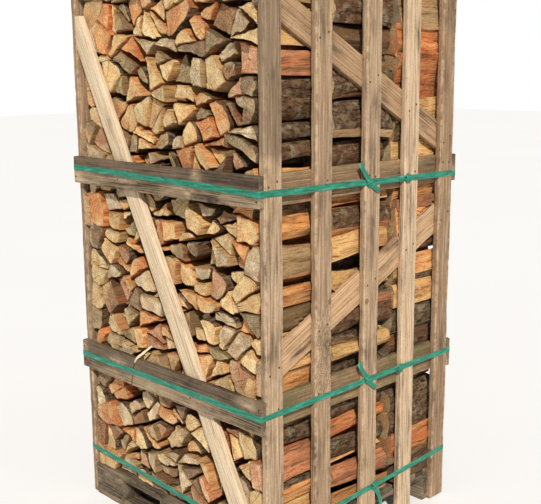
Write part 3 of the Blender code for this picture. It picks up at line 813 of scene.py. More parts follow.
def logSites(rng, low, high):
    sites = rng.uniform(low, high, (1, 2))
    while len(sites) < pile["logs"]:
        tries = rng.uniform(low, high, (pile["siteChoices"], 2))
        room = [np.linalg.norm(sites - place, axis=1).min() for place in tries]
        sites = np.vstack((sites, tries[int(np.argmax(room))]))
    return sites


def logCells(y0, y1, seed):
    # the same log sections as the solid rows have: shared corners, and each section's corners in order
    rng = np.random.default_rng(seed)
    scale = np.array((1.0, pile["flatness"]))
    low, high = np.array((-pileHalf, pileFoot)) * scale, np.array((pileHalf, pileTop)) * scale
    places = logSites(rng, low, high)
    corners, cells = [], []
    for place in places:
        outline = [low, np.array((high[0], low[1])), high, np.array((low[0], high[1]))]
        for k in np.argsort(np.linalg.norm(places - place, axis=1))[1:pile["neighbours"] + 1]:
            away = places[k] - place
            outline = clip(outline, place + away / 2, away)
        cell = []
        for point in outline:
            gaps = np.linalg.norm(np.array(corners) - point, axis=1) if corners else np.array([pileTop])
            if gaps.min() > pile["sameCorner"]:
                corners.append(point)
                cell.append(len(corners) - 1)
            elif int(gaps.argmin()) not in cell:
                cell.append(int(gaps.argmin()))
        if len(cell) > 2:
            cells.append(cell)
    corners = [point / scale for point in corners]
    straighten(corners, cells)
    loosenRim(corners, cells, rng, y0, y1)
    return corners, cells


def onEdge(point):
    near = 0.0003
    return (abs(point[0] + pileHalf) < near, abs(point[0] - pileHalf) < near,
            abs(point[1] - pileFoot) < near, abs(point[1] - pileTop) < near)


def isSound(corners, cell):
    points = [corners[k] for k in cell]
    for before, here, after in zip(points[-1:] + points[:-1], points, points[1:] + points[:1]):
        a, b = here - before, after - here
        if a[0] * b[1] - a[1] * b[0] < -pile["dent"] * np.linalg.norm(a) * np.linalg.norm(b):
            return False
    return True


def moveCorner(corners, k, shift, around):
    start = corners[k]
    for share in (1.0, 0.5, 0.25):
        corners[k] = start + shift * share
        if all(isSound(corners, cell) for cell in around):
            return
    corners[k] = start


def sectionsRound(cells):
    around = {}
    for cell in cells:
        for k in cell:
            around.setdefault(k, []).append(cell)
    return around


def straighten(corners, cells):
    neighbours = {}
    for cell in cells:
        for a, b in zip(cell, cell[1:] + cell[:1]):
            neighbours.setdefault(a, set()).add(b)
            neighbours.setdefault(b, set()).add(a)
    opposite = {}
    for k, near in neighbours.items():
        if len(near) != 3 or any(onEdge(corners[k])):
            continue
        near = sorted(near)
        arms = [(corners[n] - corners[k]) / np.linalg.norm(corners[n] - corners[k]) for n in near]
        _, i, j = min([(arms[0] @ arms[1], 0, 1), (arms[0] @ arms[2], 0, 2), (arms[1] @ arms[2], 1, 2)])
        opposite[k] = (near[i], near[j])
    around = sectionsRound(cells)
    for _ in range(pile["straightening"]):
        for k, (a, b) in opposite.items():
            along = corners[b] - corners[a]
            share = (corners[k] - corners[a]) @ along / (along @ along)
            foot = corners[a] + along * min(max(share, 0.15), 0.85)
            moveCorner(corners, k, 0.5 * (foot - corners[k]), around[k])


def sideRoom(z, side, y0, y1):
    # how far past the rails a row of logs may reach at a height, where no rail or side brace is near
    taken = [(bottom.z, top.z) for bottom, top in levels.values()]
    for start, end, width in sideBraces.values():
        rise = (end[1] - start[1]) / (end[0] - start[0])
        half = width / 2 * (1 + rise * rise) ** 0.5
        heights = [start[1] + (side * y - start[0]) * rise for y in (y0, y1)]
        taken.append((min(heights) - half, max(heights) + half))
    clear = pile["railClearance"]
    near = any(low - clear < z < high + clear for low, high in taken)
    return 0.0 if near else slatIn - touchGap - pileHalf


def loosenRim(corners, cells, rng, y0, y1):
    rim = [k for k in range(len(corners)) if any(onEdge(corners[k]))]
    inner = len(corners)
    for cell in cells:
        for a, b in list(zip(cell, cell[1:] + cell[:1])):
            if any(x and y for x, y in zip(onEdge(corners[a]), onEdge(corners[b]))):
                corners.append((corners[a] + corners[b]) / 2)
                cell.insert(cell.index(a) + 1, len(corners) - 1)
    around = sectionsRound(cells)
    for k in list(range(inner, len(corners))) + rim:
        left, right, foot, top = onEdge(corners[k])
        side = float(right) - float(left)
        across, down = 0.0, 0.0
        if side and not foot:
            across = sideRoom(corners[k][1], side, y0, y1)
        if k < inner:
            notch, sink = rng.uniform(*pile["sideNotch"]), rng.uniform(*pile["topNotch"])
            across -= 0.0 if foot else notch
            down = sink if top else 0.0
        moveCorner(corners, k, np.array((across * side, -down)), around[k])


def area(points):
    # of an outline, above nought where it runs anticlockwise
    x, z = np.array(points).T
    return 0.5 * np.sum(x * np.roll(z, -1) - z * np.roll(x, -1))


def isAtSide(points):
    return max(abs(p[0]) for p in points) > pileHalf - logShape["atSide"]


def joinSections(corners, cells, rng):
    # some neighbours become one bigger log, more of them at the open sides, where the photo's logs are big
    sections = [[corners[k] for k in cell] for cell in cells]
    sizes = [area(points) for points in sections]
    edges = {}
    for i, cell in enumerate(cells):
        for a, b in zip(cell, cell[1:] + cell[:1]):
            edges.setdefault(frozenset((a, b)), []).append(i)
    pairs = sorted(tuple(found) for found in edges.values() if len(found) == 2)
    used, joined = set(), []
    for k in rng.permutation(len(pairs)):
        i, j = pairs[k]
        whole = sizes[i] + sizes[j]
        rim = all(isAtSide(sections[n]) for n in (i, j))
        if i in used or j in used or rng.random() > logShape["sideJoin" if rim else "join"]:
            continue
        if whole > logShape["biggestAtSides" if rim else "biggest"]:
            continue
        points = sections[i] + sections[j]
        hull = [points[n] for n in convex_hull_2d([tuple(p) for p in points])]
        if abs(area(hull)) < logShape["hollow"] * whole:
            used |= {i, j}
            joined.append(hull if area(hull) > 0 else hull[::-1])
    return [points for n, points in enumerate(sections) if n not in used] + joined


def tidyCorners(outline):
    # drops corners that are close together or hardly turn
    kept = list(outline)
    k = 0
    while k < len(kept) and len(kept) > 3:
        a, b = kept[k] - kept[k - 1], kept[(k + 1) % len(kept)] - kept[k]
        turn = a[0] * b[1] - a[1] * b[0]
        isFlat = turn < logShape["flatTurn"] * np.linalg.norm(a) * np.linalg.norm(b)
        if np.linalg.norm(b) < logShape["shortSide"] or isFlat:
            kept.pop(k)
            k = 0
        else:
            k += 1
    return kept


def isShy(outline, node):
    # whether a log lies where the photo looks along its row's end and no light shows past it
    side = {"front_logs": -1, "middle_logs": 0, "back_logs": 1}[node]
    return max(side * p[0] for p in outline) > pileHalf - logShape["shyReach"]


def insetSection(points, shy, rng):
    # leaves some room on every side but the open one
    outline = list(points)
    atSide = isAtSide(points)
    for here, after in zip(points, points[1:] + points[:1]):
        wide = rng.random() < logShape["wideShare"]
        gap = rng.uniform(*logShape["sideGap" if atSide or shy else "wideGap" if wide else "gap"])
        if min(abs(here[0]), abs(after[0])) > pileHalf - 0.03 and abs(here[0] - after[0]) < 0.03:
            gap = 0.0
        along = (after - here) / max(np.linalg.norm(after - here), 1e-6)
        outward = np.array((along[1], -along[0]))
        clipped = clip(outline, here - outward * gap, outward)
        if len(clipped) > 2 and area(clipped) > 0.5 * area(outline):
            outline = clipped
    return tidyCorners(outline)


def splitSection(points, rng):
    # splits a big log through its middle, as an axe does
    if area(points) < logShape["splitAbove"] or rng.random() > logShape["split"]:
        return [points]
    middle = np.mean(points, axis=0) + rng.normal(0, 0.004, 2)
    angle = rng.uniform(0, pi)
    normal = np.array((cos(angle), sin(angle)))
    halves = [clip(points, middle, normal), clip(points, middle, -normal)]
    sound = all(len(half) > 2 and area(half) > logShape["splitLeast"] for half in halves)
    return halves if sound else [points]


def dropCorner(outline, rng):
    # leaves out one corner, so that a dark gap opens beside the log
    if len(outline) < 4 or rng.random() > logShape["dropped"]:
        return outline
    choices = [outline[:k] + outline[k + 1:] for k in range(len(outline))]
    choices = [c for c in choices if 0.60 * area(outline) < area(c) < 0.93 * area(outline)]
    return choices[int(rng.integers(len(choices)))] if choices else outline


def shapeRim(corners, shy, rng):
    # slants, ridges or rounds off the open side of a log beside the slats; returns the side that faces them
    side = 1 if np.mean([p[0] for p in corners]) > 0 else -1
    isRim = [side * p[0] > pileHalf - logShape["rim"] for p in corners]
    starts = [k for k in range(len(corners)) if isRim[k] and not isRim[k - 1]]
    if len(starts) != 1 or sum(isRim) < 2 or len(corners) - sum(isRim) < 1:
        return corners, None
    order = [(starts[0] + k) % len(corners) for k in range(len(corners))]
    rim = [corners[k] for k in order[:sum(isRim)]]
    rest = [corners[k] for k in order[sum(isRim):]]
    low, high = min(p[1] for p in corners), max(p[1] for p in corners)
    clear = logShape["railClear"]
    level = any(low < top.z + clear and high > bottom.z - clear for bottom, top in levels.values())
    reach = pileHalf if level else slatIn - 0.0012
    if rng.random() < (0.0 if shy else logShape["sunk"]):
        reach -= rng.uniform(*logShape["sunkDepth"])
    start, end = rim[0][1], rim[-1][1]
    if shy:                         # meets the logs above and below
        grow = logShape["meeting"] if end > start else -logShape["meeting"]
        start, end = start - grow, end + grow
    first, last = rng.uniform(0.001, 0.008, 2)
    style = rng.random()
    ridge = []
    if style < logShape["slanted"]:
        deep = min(rng.uniform(*logShape["recess"]), abs(end - start) * (0.15 if shy else 0.6))
        first, last = (first, deep) if rng.random() < 0.5 else (deep, last)
    elif style < logShape["slanted"] + logShape["ridged"]:
        most = abs(end - start) * (0.1 if shy else 0.45)
        first, last = np.minimum(rng.uniform(*logShape["recess"], 2), most)
        ridge = [np.array((side * reach, start + (end - start) * rng.uniform(0.25, 0.75)))]
    lower, upper = np.array((side * (reach - first), start)), np.array((side * (reach - last), end))
    shaped = [lower] + ridge + [upper] + rest
    if area(shaped) < 0.55 * area(corners):
        return corners, None
    return shaped, 0


def chooseBark(corners, openSide, rng):
    lengths = np.array([np.linalg.norm(b - a) for a, b in zip(corners, corners[1:] + corners[:1])])
    if openSide is not None and rng.random() < logShape["sideBark"]:
        return {openSide} if len(corners) < 5 else {openSide, openSide + 1}
    if rng.random() > logShape["bark"]:
        return set()
    first = int(rng.choice(len(corners), p=lengths ** 1.5 / np.sum(lengths ** 1.5)))
    sides = {first}
    if rng.random() < logShape["moreBark"] / logShape["bark"]:
        sides.add((first + 1) % len(corners))
    return sides


def sectionRing(corners, bark, rng):
    # points round a split log's section, and for each whether bark starts there
    count = len(corners)
    leave, enter = [], []
    for k in range(count):
        before, here, after = corners[k - 1], corners[k], corners[(k + 1) % count]
        toBefore, toAfter = before - here, after - here
        barkBefore, barkAfter = (k - 1) % count in bark, k in bark
        if barkBefore and barkAfter:
            point = here + 0.17 * (toBefore + toAfter)
            leave.append(point)
            enter.append(point)
        elif barkBefore or barkAfter:
            own, other = (toBefore, toAfter) if barkBefore else (toAfter, toBefore)
            size = np.linalg.norm(other)
            pull = min(rng.uniform(*logShape["bulge"]) * np.linalg.norm(own), 0.45 * size)
            leave.append(here + other / size * pull)
            enter.append(leave[-1])
        else:
            chips = rng.uniform(*logShape["chip"], 2)
            leave.append(here + toBefore / np.linalg.norm(toBefore) * chips[0])
            enter.append(here + toAfter / np.linalg.norm(toAfter) * chips[1])
    ring, kinds = [], []
    for k in range(count):
        after = (k + 1) % count
        start, end = enter[k], leave[after]
        length = np.linalg.norm(end - start)
        steps = max(int(round(length / logShape["step"])), 2)
        shares = np.linspace(0, 1, steps + 1)[:-1, None]
        if k in bark:
            full = corners[after] - corners[k]
            first, second = corners[k] + 0.2 * full, corners[after] - 0.2 * full
            points = ((1 - shares) ** 3 * start + 3 * (1 - shares) ** 2 * shares * first
                      + 3 * (1 - shares) * shares ** 2 * second + shares ** 3 * end)
        else:
            along = (end - start) / max(length, 1e-6)
            outward = np.array((along[1], -along[0]))
            bow = rng.uniform(-0.050, 0.014) * length
            points = start + (end - start) * shares + outward * bow * np.sin(pi * shares)
        ring += list(points)
        kinds += [1 if k in bark else 0] * steps
        if np.linalg.norm(enter[after] - end) > 1e-6:
            ring.append(end)
            kinds.append(0)
    return np.array(ring), np.array(kinds)


def findHeart(corners, bark, centre, rng):
    # the tree's middle: across from the bark, or well outside a log that was split off its inside
    if bark:
        side = min(bark)
        barkMiddle = (corners[side] + corners[(side + 1) % len(corners)]) / 2
        far = max(corners, key=lambda point: np.linalg.norm(point - barkMiddle))
        heart = far + (far - barkMiddle) * rng.uniform(-0.15, 0.35)
        return heart, np.linalg.norm(barkMiddle - heart)
    angle = rng.uniform(0, 2 * pi)
    distance = rng.uniform(0.02, 0.10)
    return centre + distance * np.array((cos(angle), sin(angle))), distance + 0.06


def skin(shares, around, rng):
    # disorder of a log's surface that runs mostly along it
    about = np.arange(around)[None, :] / around
    along = shares[:, None]
    total = np.zeros((len(shares), around))
    for _ in range(7):
        turns, speed, phase = rng.integers(1, 8), rng.uniform(-1.6, 1.6), rng.uniform(0, 2 * pi)
        total += rng.normal(0, logShape["coarse"]) * np.sin(2 * pi * (turns * about + speed * along) + phase)
    total += rng.normal(0, logShape["fine"], (1, around)) + rng.normal(0, logShape["fine"] * 0.7, total.shape)
    return total


def sideLimit(places):
    # how far out each place may lie: up to the slats, or up to the rails and braces on them
    side = np.sign(places[..., 0])
    y, z = places[..., 1] * side, places[..., 2]
    taken = np.zeros(z.shape, bool)
    for bottom, top in levels.values():
        taken |= (z > bottom.z - 0.003) & (z < top.z + 0.003)
    for start, end, width in sideBraces.values():
        rise = (end[1] - start[1]) / (end[0] - start[0])
        middle = start[1] + (y - start[0]) * rise
        taken |= np.abs(z - middle) < width / 2 * (1 + rise * rise) ** 0.5 + logShape["railClear"]
    return np.where(taken, pileHalf, slatIn - 0.0008)


def turned(angle):
    return np.array(((cos(angle), -sin(angle)), (sin(angle), cos(angle))))


def buildLog(corners, openSide, shy, outer, inner, detailed, rng):
    # one log as rings from its outer to its inner end, and its values for the finishes
    bark = chooseBark(corners, openSide, rng)
    ring, kinds = sectionRing(corners, bark, rng)
    centre = ring.mean(axis=0)
    heart, reach = findHeart(corners, bark, centre, rng)
    facing = 1.0 if outer > inner else -1.0
    pull = np.zeros_like(ring)
    if rng.random() < logShape["cracked"]:
        k = int(rng.integers(len(ring) - 1))
        spot, along = (ring[k] + ring[k + 1]) / 2, ring[k + 1] - ring[k]
        along = along / np.linalg.norm(along) * rng.uniform(*logShape["crackWidth"])
        ring = np.insert(ring, k + 1, [spot - along, spot, spot + along], axis=0)
        kinds = np.insert(kinds, k + 1, [kinds[k]] * 3)
        pull = np.zeros_like(ring)
        pull[k + 2] = (centre - spot) * rng.uniform(0.35, 0.85)
    tangent = np.roll(ring, -1, axis=0) - np.roll(ring, 1, axis=0)
    tangent /= np.maximum(np.linalg.norm(tangent, axis=1, keepdims=True), 1e-6)
    outward = np.stack([tangent[:, 1], -tangent[:, 0]], axis=-1)
    bevel = logShape["bevel"]
    shares = np.concatenate(([0.0], np.linspace(0.0, 1.0, logShape["rings"][detailed]), [1.0]))
    count, around = len(shares), len(ring)
    rough = skin(shares, around, rng) * np.where(kinds == 1, logShape["barkRough"], 1.0)
    rough = np.minimum(rough, 2 * logShape["relief"]) - logShape["relief"]
    shrink = np.zeros(count)
    shrink[[0, -1]] = bevel
    sway = logShape["lean"] if openSide is None else logShape["sideLean"]
    calm = logShape["calm"] if shy else 1.0
    lean = np.array((rng.normal(0, logShape["lean"]), rng.normal(0, sway))) * calm
    bend = rng.normal(0, logShape["bend"], 2) * calm
    twist = rng.normal(0, logShape["twist"]) * calm
    taper = rng.uniform(-0.05, 0.10) * calm
    opening = np.clip(1 - shares * rng.uniform(1.0, 4.0), 0.05, 1)
    tilts = np.clip(rng.normal(0, logShape["endTilt"], (2, 2)), -0.2, 0.2)
    rings = []
    for j, share in enumerate(shares):
        points = ring + pull * opening[j] + outward * (rough[j] - shrink[j])[:, None]
        points = centre + (points - centre) * (1 - max(taper, 0) * share + min(taper, 0) * (1 - share))
        leaning = lean * share + bend * sin(pi * share)
        rings.append(centre + (points - centre) @ turned(twist * share).T + leaning)
    rings = np.array(rings)
    near = (outer - facing * bevel) * facing
    slant = np.clip((ring - centre) @ tilts[0], -logShape["endReach"], logShape["endReach"])
    near = np.minimum(near + slant * facing, near) * facing
    far = (inner + facing * bevel) * facing
    far = np.maximum(far + (ring - centre) @ tilts[1] * 0.4 * facing, far) * facing
    depth = near[None, :] * (1 - shares[:, None]) + far[None, :] * shares[:, None]
    depth[0] += facing * bevel
    depth[-1] -= facing * bevel
    bumps = rng.normal(0, logShape["endRelief"], (3, around)) - 0.0006
    caps, capDepths = [], []
    for scale, uneven in zip(logShape["capRings"], bumps):
        caps.append(rings[0].mean(axis=0) + (rings[0] - rings[0].mean(axis=0)) * scale)
        flat = depth[0].mean() + (depth[0] - depth[0].mean()) * scale
        capDepths.append(flat + facing * (uneven * min(1.0, 2 * scale) - 0.0002))
    rings, depth = np.concatenate([caps, rings]), np.concatenate([capDepths, depth])
    places = np.stack([rings[..., 0], depth, rings[..., 1]], axis=-1)
    limit = sideLimit(places)
    places[..., 0] = np.clip(places[..., 0], -limit, limit)
    places[..., 2] = np.clip(places[..., 2], pileFoot, pileTop)
    verts = places.reshape(-1, 3)
    faces, ends = tubeFaces(count + 3, around, flip=facing < 0)
    slots = [0] * (3 * around) + np.tile(np.where(kinds == 1, 2, 1), count - 1).tolist() + [0, 0]
    chosen = int(rng.choice(len(logColours), p=np.array([c[3] for c in logColours])))
    light = rng.uniform(*logShape["brightness"])
    total = len(verts)

    def evenly(colour, strength):
        return np.tile(np.array(colour) * (strength, strength, strength, 1), (total, 1))

    rim = np.ones((count + 3, around))
    rim[:3] = np.array((0.0, 0.0, 0.35))[:, None]
    fields = {
        "heart": verts - np.array((heart[0], 0.0, heart[1])),
        "logColour": evenly(logColours[chosen][0], light),
        "patchColour": evenly(logColours[chosen][1], light * rng.uniform(0.8, 1.1)),
        "splitColour": evenly(logColours[chosen][2], light * rng.uniform(0.85, 1.20)),
        "logSeed": np.full(total, rng.random()), "reach": np.full(total, reach), "rim": rim.ravel(),
    }
    return verts, faces + ends, slots, fields


def besideBrace(outline, facing):
    # whether a log keeps clear of the long brace that lies over the pile
    start, end, width = longBrace
    along = np.array(end) - np.array(start)
    across = np.array((-along[1], along[0])) / np.linalg.norm(along)
    offsets = [(np.array((-facing * x, z)) - np.array(start)) @ across for x, z in outline]
    reach = width / 2 + logShape["railClear"]
    return min(offsets) > reach or max(offsets) < -reach


def buildLogRow(node, materials):
    y0, y1, seed = pile["rows"][node]
    rng = np.random.default_rng(seed + 200)
    corners, cells = logCells(y0, y1, seed)
    outer, inner = (y1, y0) if node == "back_logs" else (y0, y1)
    facing = 1.0 if outer > inner else -1.0
    parts, allSlots, allFields = [], [], {}
    sections = []
    for section in joinSections(corners, cells, rng):
        sections += [section] if isAtSide(section) else splitSection(section, rng)
    for n, section in enumerate(sections):
        rng = np.random.default_rng((seed, n, logShape["seed"]))
        shy = isShy(section, node)
        outline, openSide = shapeRim(insetSection(section, shy, rng), shy, rng)
        if area(outline) < logShape["smallest"]:
            continue
        if openSide is None and not shy:
            outline = dropCorner(outline, rng)
        if shy:                     # closes up with its neighbours
            middle = np.mean(outline, axis=0)
            outline = [middle + (p - middle) * logShape["closed"] for p in outline]
            turn = turned(rng.normal(0, logShape["turn"])) * rng.uniform(*logShape["scale"])
            middle = np.mean(outline, axis=0)
            shift = rng.normal(0, logShape["shift"], 2)
            outline = [middle + turn @ (p - middle) + shift for p in outline]
        shares = [share for share, _, _ in logShape["stray"]]
        _, least, most = logShape["stray"][int(rng.choice(len(shares), p=shares))]
        if openSide is not None or shy:
            least, most = 0.0, logShape["sideStray"] * (0.4 if shy else 1.0)
        back = rng.uniform(least, most)
        if node != "middle_logs" and besideBrace(outline, facing):
            back -= rng.uniform(0, logShape["forward"]) if openSide is None else logShape["sideForward"]
        end = inner + facing * abs(rng.normal(0, 0.012))
        detailed = bool(openSide is not None or max(p[1] for p in outline) > pileTop - 0.03)
        front = outer - facing * back
        verts, faces, slots, fields = buildLog(outline, openSide, shy, front, end, detailed, rng)
        parts.append((verts, faces))
        allSlots += slots
        for label, values in fields.items():
            allFields.setdefault(label, []).append(values)
    fields = {label: np.concatenate(values) for label, values in allFields.items()}
    verts, faces = joinParts(parts)
    piece = addMesh("split_" + node, verts, faces, materials, allSlots, fields, logShape["sharpAngle"])
    print(node, "stacked:", len(parts), "logs,", len(faces), "faces")
    return finishPiece(piece, "firewood", node)


# Straps

strapShape = {
    "width": 0.0215, "thickness": 0.0014, "step": 0.008, "bend": 0.003, "ribs": 0.00022,
    "slack": 0.0016,
    "tail": 0.0205,                 # width where a loose end leaves its knot
    "tailLift": 0.0035, "tailBow": 0.0022, "tailDrop": 0.0020,  # how far off the slat it starts, rises, falls
    "tailPoints": 22, "wrapPoints": 25,
    "heights": {                    # at -X -Y, +X -Y, +X +Y and -X +Y, and the plane it lies on in front
        "low": ((0.196, 0.158, 0.200, 0.194), crossIn),
        "middle": ((0.584, 0.587, 0.594, 0.586), boardOut),
        "high": ((1.304, 1.289, 1.273, 1.288), boardOut),
    },
    # angle, height, width and depth of the turns of a knot
    "wraps": ((18, 0.031, 0.015, 0.0066), (-38, 0.032, 0.014, 0.0078), (74, 0.030, 0.012, 0.0088)),
    "knots": {                      # y, and the angle and length of each loose end
        "low": [(0.055, ((-62, 0.105),))],
        "middle": [(0.012, ((132, 0.090), (-50, 0.058))), (0.190, ())],
        "high": [(0.006, ((133, 0.084), (-40, 0.061))), (0.212, ())],
    },
}


def bandRings(path, outwards, ups, widths, thickness, ribs):
    # a flat band along a path: rings with lengthwise ribs on the outer face
    across = np.array([-1.0, -0.93, -0.6, -0.3, 0.0, 0.3, 0.6, 0.93, 1.0, 0.9, 0.0, -0.9]) / 2
    out = np.array([0.5, 0.92, 1.0, 1.0, 1.0, 1.0, 1.0, 0.92, 0.5, 0.0, 0.0, 0.0])
    ribbed = out * thickness - ribs * np.array([0, 0, 0, 1, 0, 1, 0, 0, 0, 0, 0, 0])
    places = (path[:, None, :] + ups[:, None, :] * (across[None, :, None] * widths[:, None, None])
              + outwards[:, None, :] * ribbed[None, :, None])
    return places, across


def bandMesh(pathData, thickness, ribs=0.0, closed=False):
    path, outwards, ups, widths = pathData
    places, across = bandRings(path, outwards, ups, widths, thickness, ribs)
    run = np.concatenate(([0.0], np.cumsum(np.linalg.norm(np.diff(path, axis=0), axis=1))))
    band = np.stack([np.repeat(run, len(across)), (across[None, :] * widths[:, None]).ravel(),
                     np.zeros(places.shape[0] * len(across))], axis=-1)
    faces, ends = tubeFaces(len(path), len(across))
    return places.reshape(-1, 3), faces + ([] if closed else ends), band


def strapPath(heights, halfY, rng):
    # round the crate, a little slack between the slats, with small bends at its four corners
    x, y, bend = slatOut + touchGap, halfY + touchGap, strapShape["bend"]
    corners = np.array([(-x, -y, heights[0]), (x, -y, heights[1]), (x, y, heights[2]), (-x, y, heights[3])])
    points, outwards = [], []
    for k in range(4):
        here, after = corners[k], corners[(k + 1) % 4]
        along = (after - here) / np.linalg.norm(after - here)
        out = np.array((along[1], -along[0], 0.0))
        out /= np.linalg.norm(out)
        length = np.linalg.norm(after - here)
        count = int(length / strapShape["step"])
        for share in np.linspace(bend / length, 1 - bend / length, count):
            points.append(here + (after - here) * share)
            outwards.append(out)
        nextAlong = corners[(k + 2) % 4] - after
        nextOut = np.array((nextAlong[1], -nextAlong[0], 0.0))
        nextOut /= np.linalg.norm(nextOut)
        middle = (out + nextOut) / np.linalg.norm(out + nextOut)
        points.append(after - middle * bend * 0.6)
        outwards.append(middle)
    points, outwards = np.array(points), np.array(outwards)
    run = np.arange(len(points)) * strapShape["step"]
    points[:, 2] += waves(run, rng, 0.9, 0.12) * strapShape["slack"]
    ups = np.tile(np.array((0.0, 0.0, 1.0)), (len(points), 1))
    widths = strapShape["width"] * (0.97 - 0.10 * np.clip(waves(run, rng, 0.4, 0.05) * 2, 0, 1))
    return points, outwards, ups, widths


def knotBands(y, z, tails, rng):
    # wraps of the band drawn tight over the strap, and its loose ends
    face, limit = slatOut + touchGap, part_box("strap_high")[1].x
    count, turns = strapShape["tailPoints"], strapShape["wrapPoints"]
    outX = np.array((1.0, 0.0, 0.0))
    wraps = []
    for angle, high, wide, deep in strapShape["wraps"]:
        turn = np.linspace(0, 2 * pi, turns)
        up = np.array((0.0, sin(radians(angle)), cos(radians(angle))))
        side = np.array((0.0, cos(radians(angle)), -sin(radians(angle))))
        middle = np.array((face + deep / 2, y, z))
        path = (middle + np.cos(turn)[:, None] * outX * (deep / 2 - 0.0006)
                + np.sin(turn)[:, None] * up * high / 2 * (1 + 0.06 * np.sin(3 * turn))[:, None]
                + side * rng.normal(0, 0.0012, turns)[:, None] * np.sin(turn)[:, None])
        outwards = np.cos(turn)[:, None] * outX + np.sin(turn)[:, None] * up
        widths = wide * (1 - 0.35 * np.abs(np.sin(turn)) + 0.12 * np.sin(2 * turn + angle))
        wraps.append((path, outwards, np.tile(side, (turns, 1)), widths))
    for i, (angle, length) in enumerate(tails):
        share = np.linspace(0, 1, count)
        lean = radians(angle) + 0.35 * share ** 2 * (1 if i else -1)
        steps = np.stack([np.zeros(count), np.cos(lean), np.sin(lean)], axis=-1) * length / (count - 1)
        path = np.array((face + strapShape["tailLift"], y, z)) + np.cumsum(steps, axis=0) - steps[0]
        lift = strapShape["tailBow"] * np.sin(pi * share) + 0.0010 * i - strapShape["tailDrop"] * share
        path[:, 0] = np.minimum(path[:, 0] + lift, limit - 0.0016)
        curl = 0.5 * np.sin(share * pi * 1.5)
        flat = np.cross(outX, steps / np.linalg.norm(steps, axis=1)[:, None])
        outwards = outX * np.cos(curl * 0.2)[:, None]
        widths = strapShape["tail"] * (1 - 0.20 * share + 0.08 * np.sin(share * 9))
        wraps.append((path, outwards, -flat, widths))
    return wraps


def buildStrap(level, material):
    rng = np.random.default_rng({"low": 5, "middle": 6, "high": 7}[level])
    heights, halfY = strapShape["heights"][level]
    bands = [(strapPath(heights, halfY, rng), True)]
    for y, tails in strapShape["knots"][level]:
        z = heights[1] + (heights[2] - heights[1]) * (y + halfY) / (2 * halfY)
        bands += [(data, False) for data in knotBands(y, z, tails, rng)]
    parts, band = [], []
    for data, closed in bands:
        if closed:
            data = tuple(np.concatenate([part, part[:1]]) for part in data)
        places, more, run = bandMesh(data, strapShape["thickness"], strapShape["ribs"], closed)
        parts.append((places, more))
        band.append(run)
    fields = {"band": np.concatenate(band)}
    piece = addMesh("band_" + level, *joinParts(parts), [material], fields=fields, sharpAngle=50)
    bm = bmesh.new()
    bm.from_mesh(piece.data)
    bmesh.ops.remove_doubles(bm, verts=bm.verts[:], dist=0.00002)
    bmesh.ops.recalc_face_normals(bm, faces=bm.faces[:])
    bm.to_mesh(piece.data)
    bm.free()
    return finishPiece(piece, "strap_plastic", f"strap_{level}")


# Nails

nailShape = {
    "radius": 0.0036, "height": 0.0007, "around": 10,
    "apart": 0.018, "braceApart": 0.020, "boardApart": 0.028,   # half the distance between a pair
    "profile": ((1.0, -1.0), (1.0, 0.4), (0.8, 0.85), (0.4, 1.0)),  # radius and height of its rings
}


def buildNails(material):
    rng = np.random.default_rng(77)
    spots = []                      # place and outward direction
    for side in (1, -1):
        for i in range(5):
            low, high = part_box(f"{'right' if side > 0 else 'left'}_slat_{i + 1}")
            middle = (low.y + high.y) / 2
            for bottom, top in levels.values():
                height = (bottom.z + top.z) / 2
                for k in (-1, 1):
                    across = middle + k * nailShape["apart"] + rng.uniform(-0.006, 0.006)
                    lift = 0.0088 * k * rng.choice((-1, 1)) + rng.uniform(0.004, 0.024)
                    spots.append(((side * slatOut, across, height + lift), (side, 0, 0)))
            for (y0, z0), (y1, z1), _ in sideBraces.values():
                height = z0 + (z1 - z0) * (side * middle - y0) / (y1 - y0)
                for k in (-1, 1):
                    lift = k * 0.012 + rng.uniform(-0.008, 0.008)
                    across = middle + k * nailShape["braceApart"]
                    spots.append(((side * slatOut, across, height + lift), (side, 0, 0)))
    (x0, z0), (x1, z1), _ = longBrace
    for end in (1, -1):
        for bottom, top in levels.values():
            height = (bottom.z + top.z) / 2
            for side in (1, -1):
                for k in (-1, 1):
                    lift = k * nailShape["boardApart"] + rng.uniform(-0.006, 0.006)
                    spots.append(((side * (slatOut - 0.011), -end * boardOut, height + lift), (0, -end, 0)))
            crossing = end * (x0 + (x1 - x0) * (height - z0) / (z1 - z0))
            if abs(crossing) < slatIn:
                for k in (-1, 1):
                    spot = (crossing + k * nailShape["apart"], -end * boardOut, height + k * 0.016)
                    spots.append((spot, (0, -end, 0)))
    verts, faces = [], []
    around = nailShape["around"]
    for place, out in spots:
        out = Vector(out)
        first = out.orthogonal().normalized()
        second = out.cross(first)
        start = len(verts)
        for share, lift in nailShape["profile"]:
            for k in range(around):
                angle = 2 * pi * k / around
                radius = nailShape["radius"] * share
                point = Vector(place) + first * radius * cos(angle) + second * radius * sin(angle)
                verts.append(point + out * nailShape["height"] * lift)
        more, ends = tubeFaces(len(nailShape["profile"]), around, start)
        faces += more + ends
    piece = addMesh("nail_heads", [tuple(v) for v in verts], faces, [material], sharpAngle=50)
    return finishPiece(piece, None)


# The splinter over the front's lower board, and the dark strip of bark that hangs from it

splinterShape = {
    "thickness": 0.0011,
    # points on the way, width, and how much of it is bark
    "wood": (((-0.160, -0.5006, 0.621), (-0.146, -0.5006, 0.640), (-0.086, -0.4740, 0.694)),
             0.0095, 0.0),
    "bark": (((-0.157, -0.5006, 0.627), (-0.162, -0.5006, 0.613), (-0.168, -0.5006, 0.5985)),
             0.0034, 1.0),
    "lowerBark": (((-0.174, -0.5006, 0.5715), (-0.180, -0.5006, 0.550), (-0.190, -0.4990, 0.508)),
                  0.0034, 1.0),
}


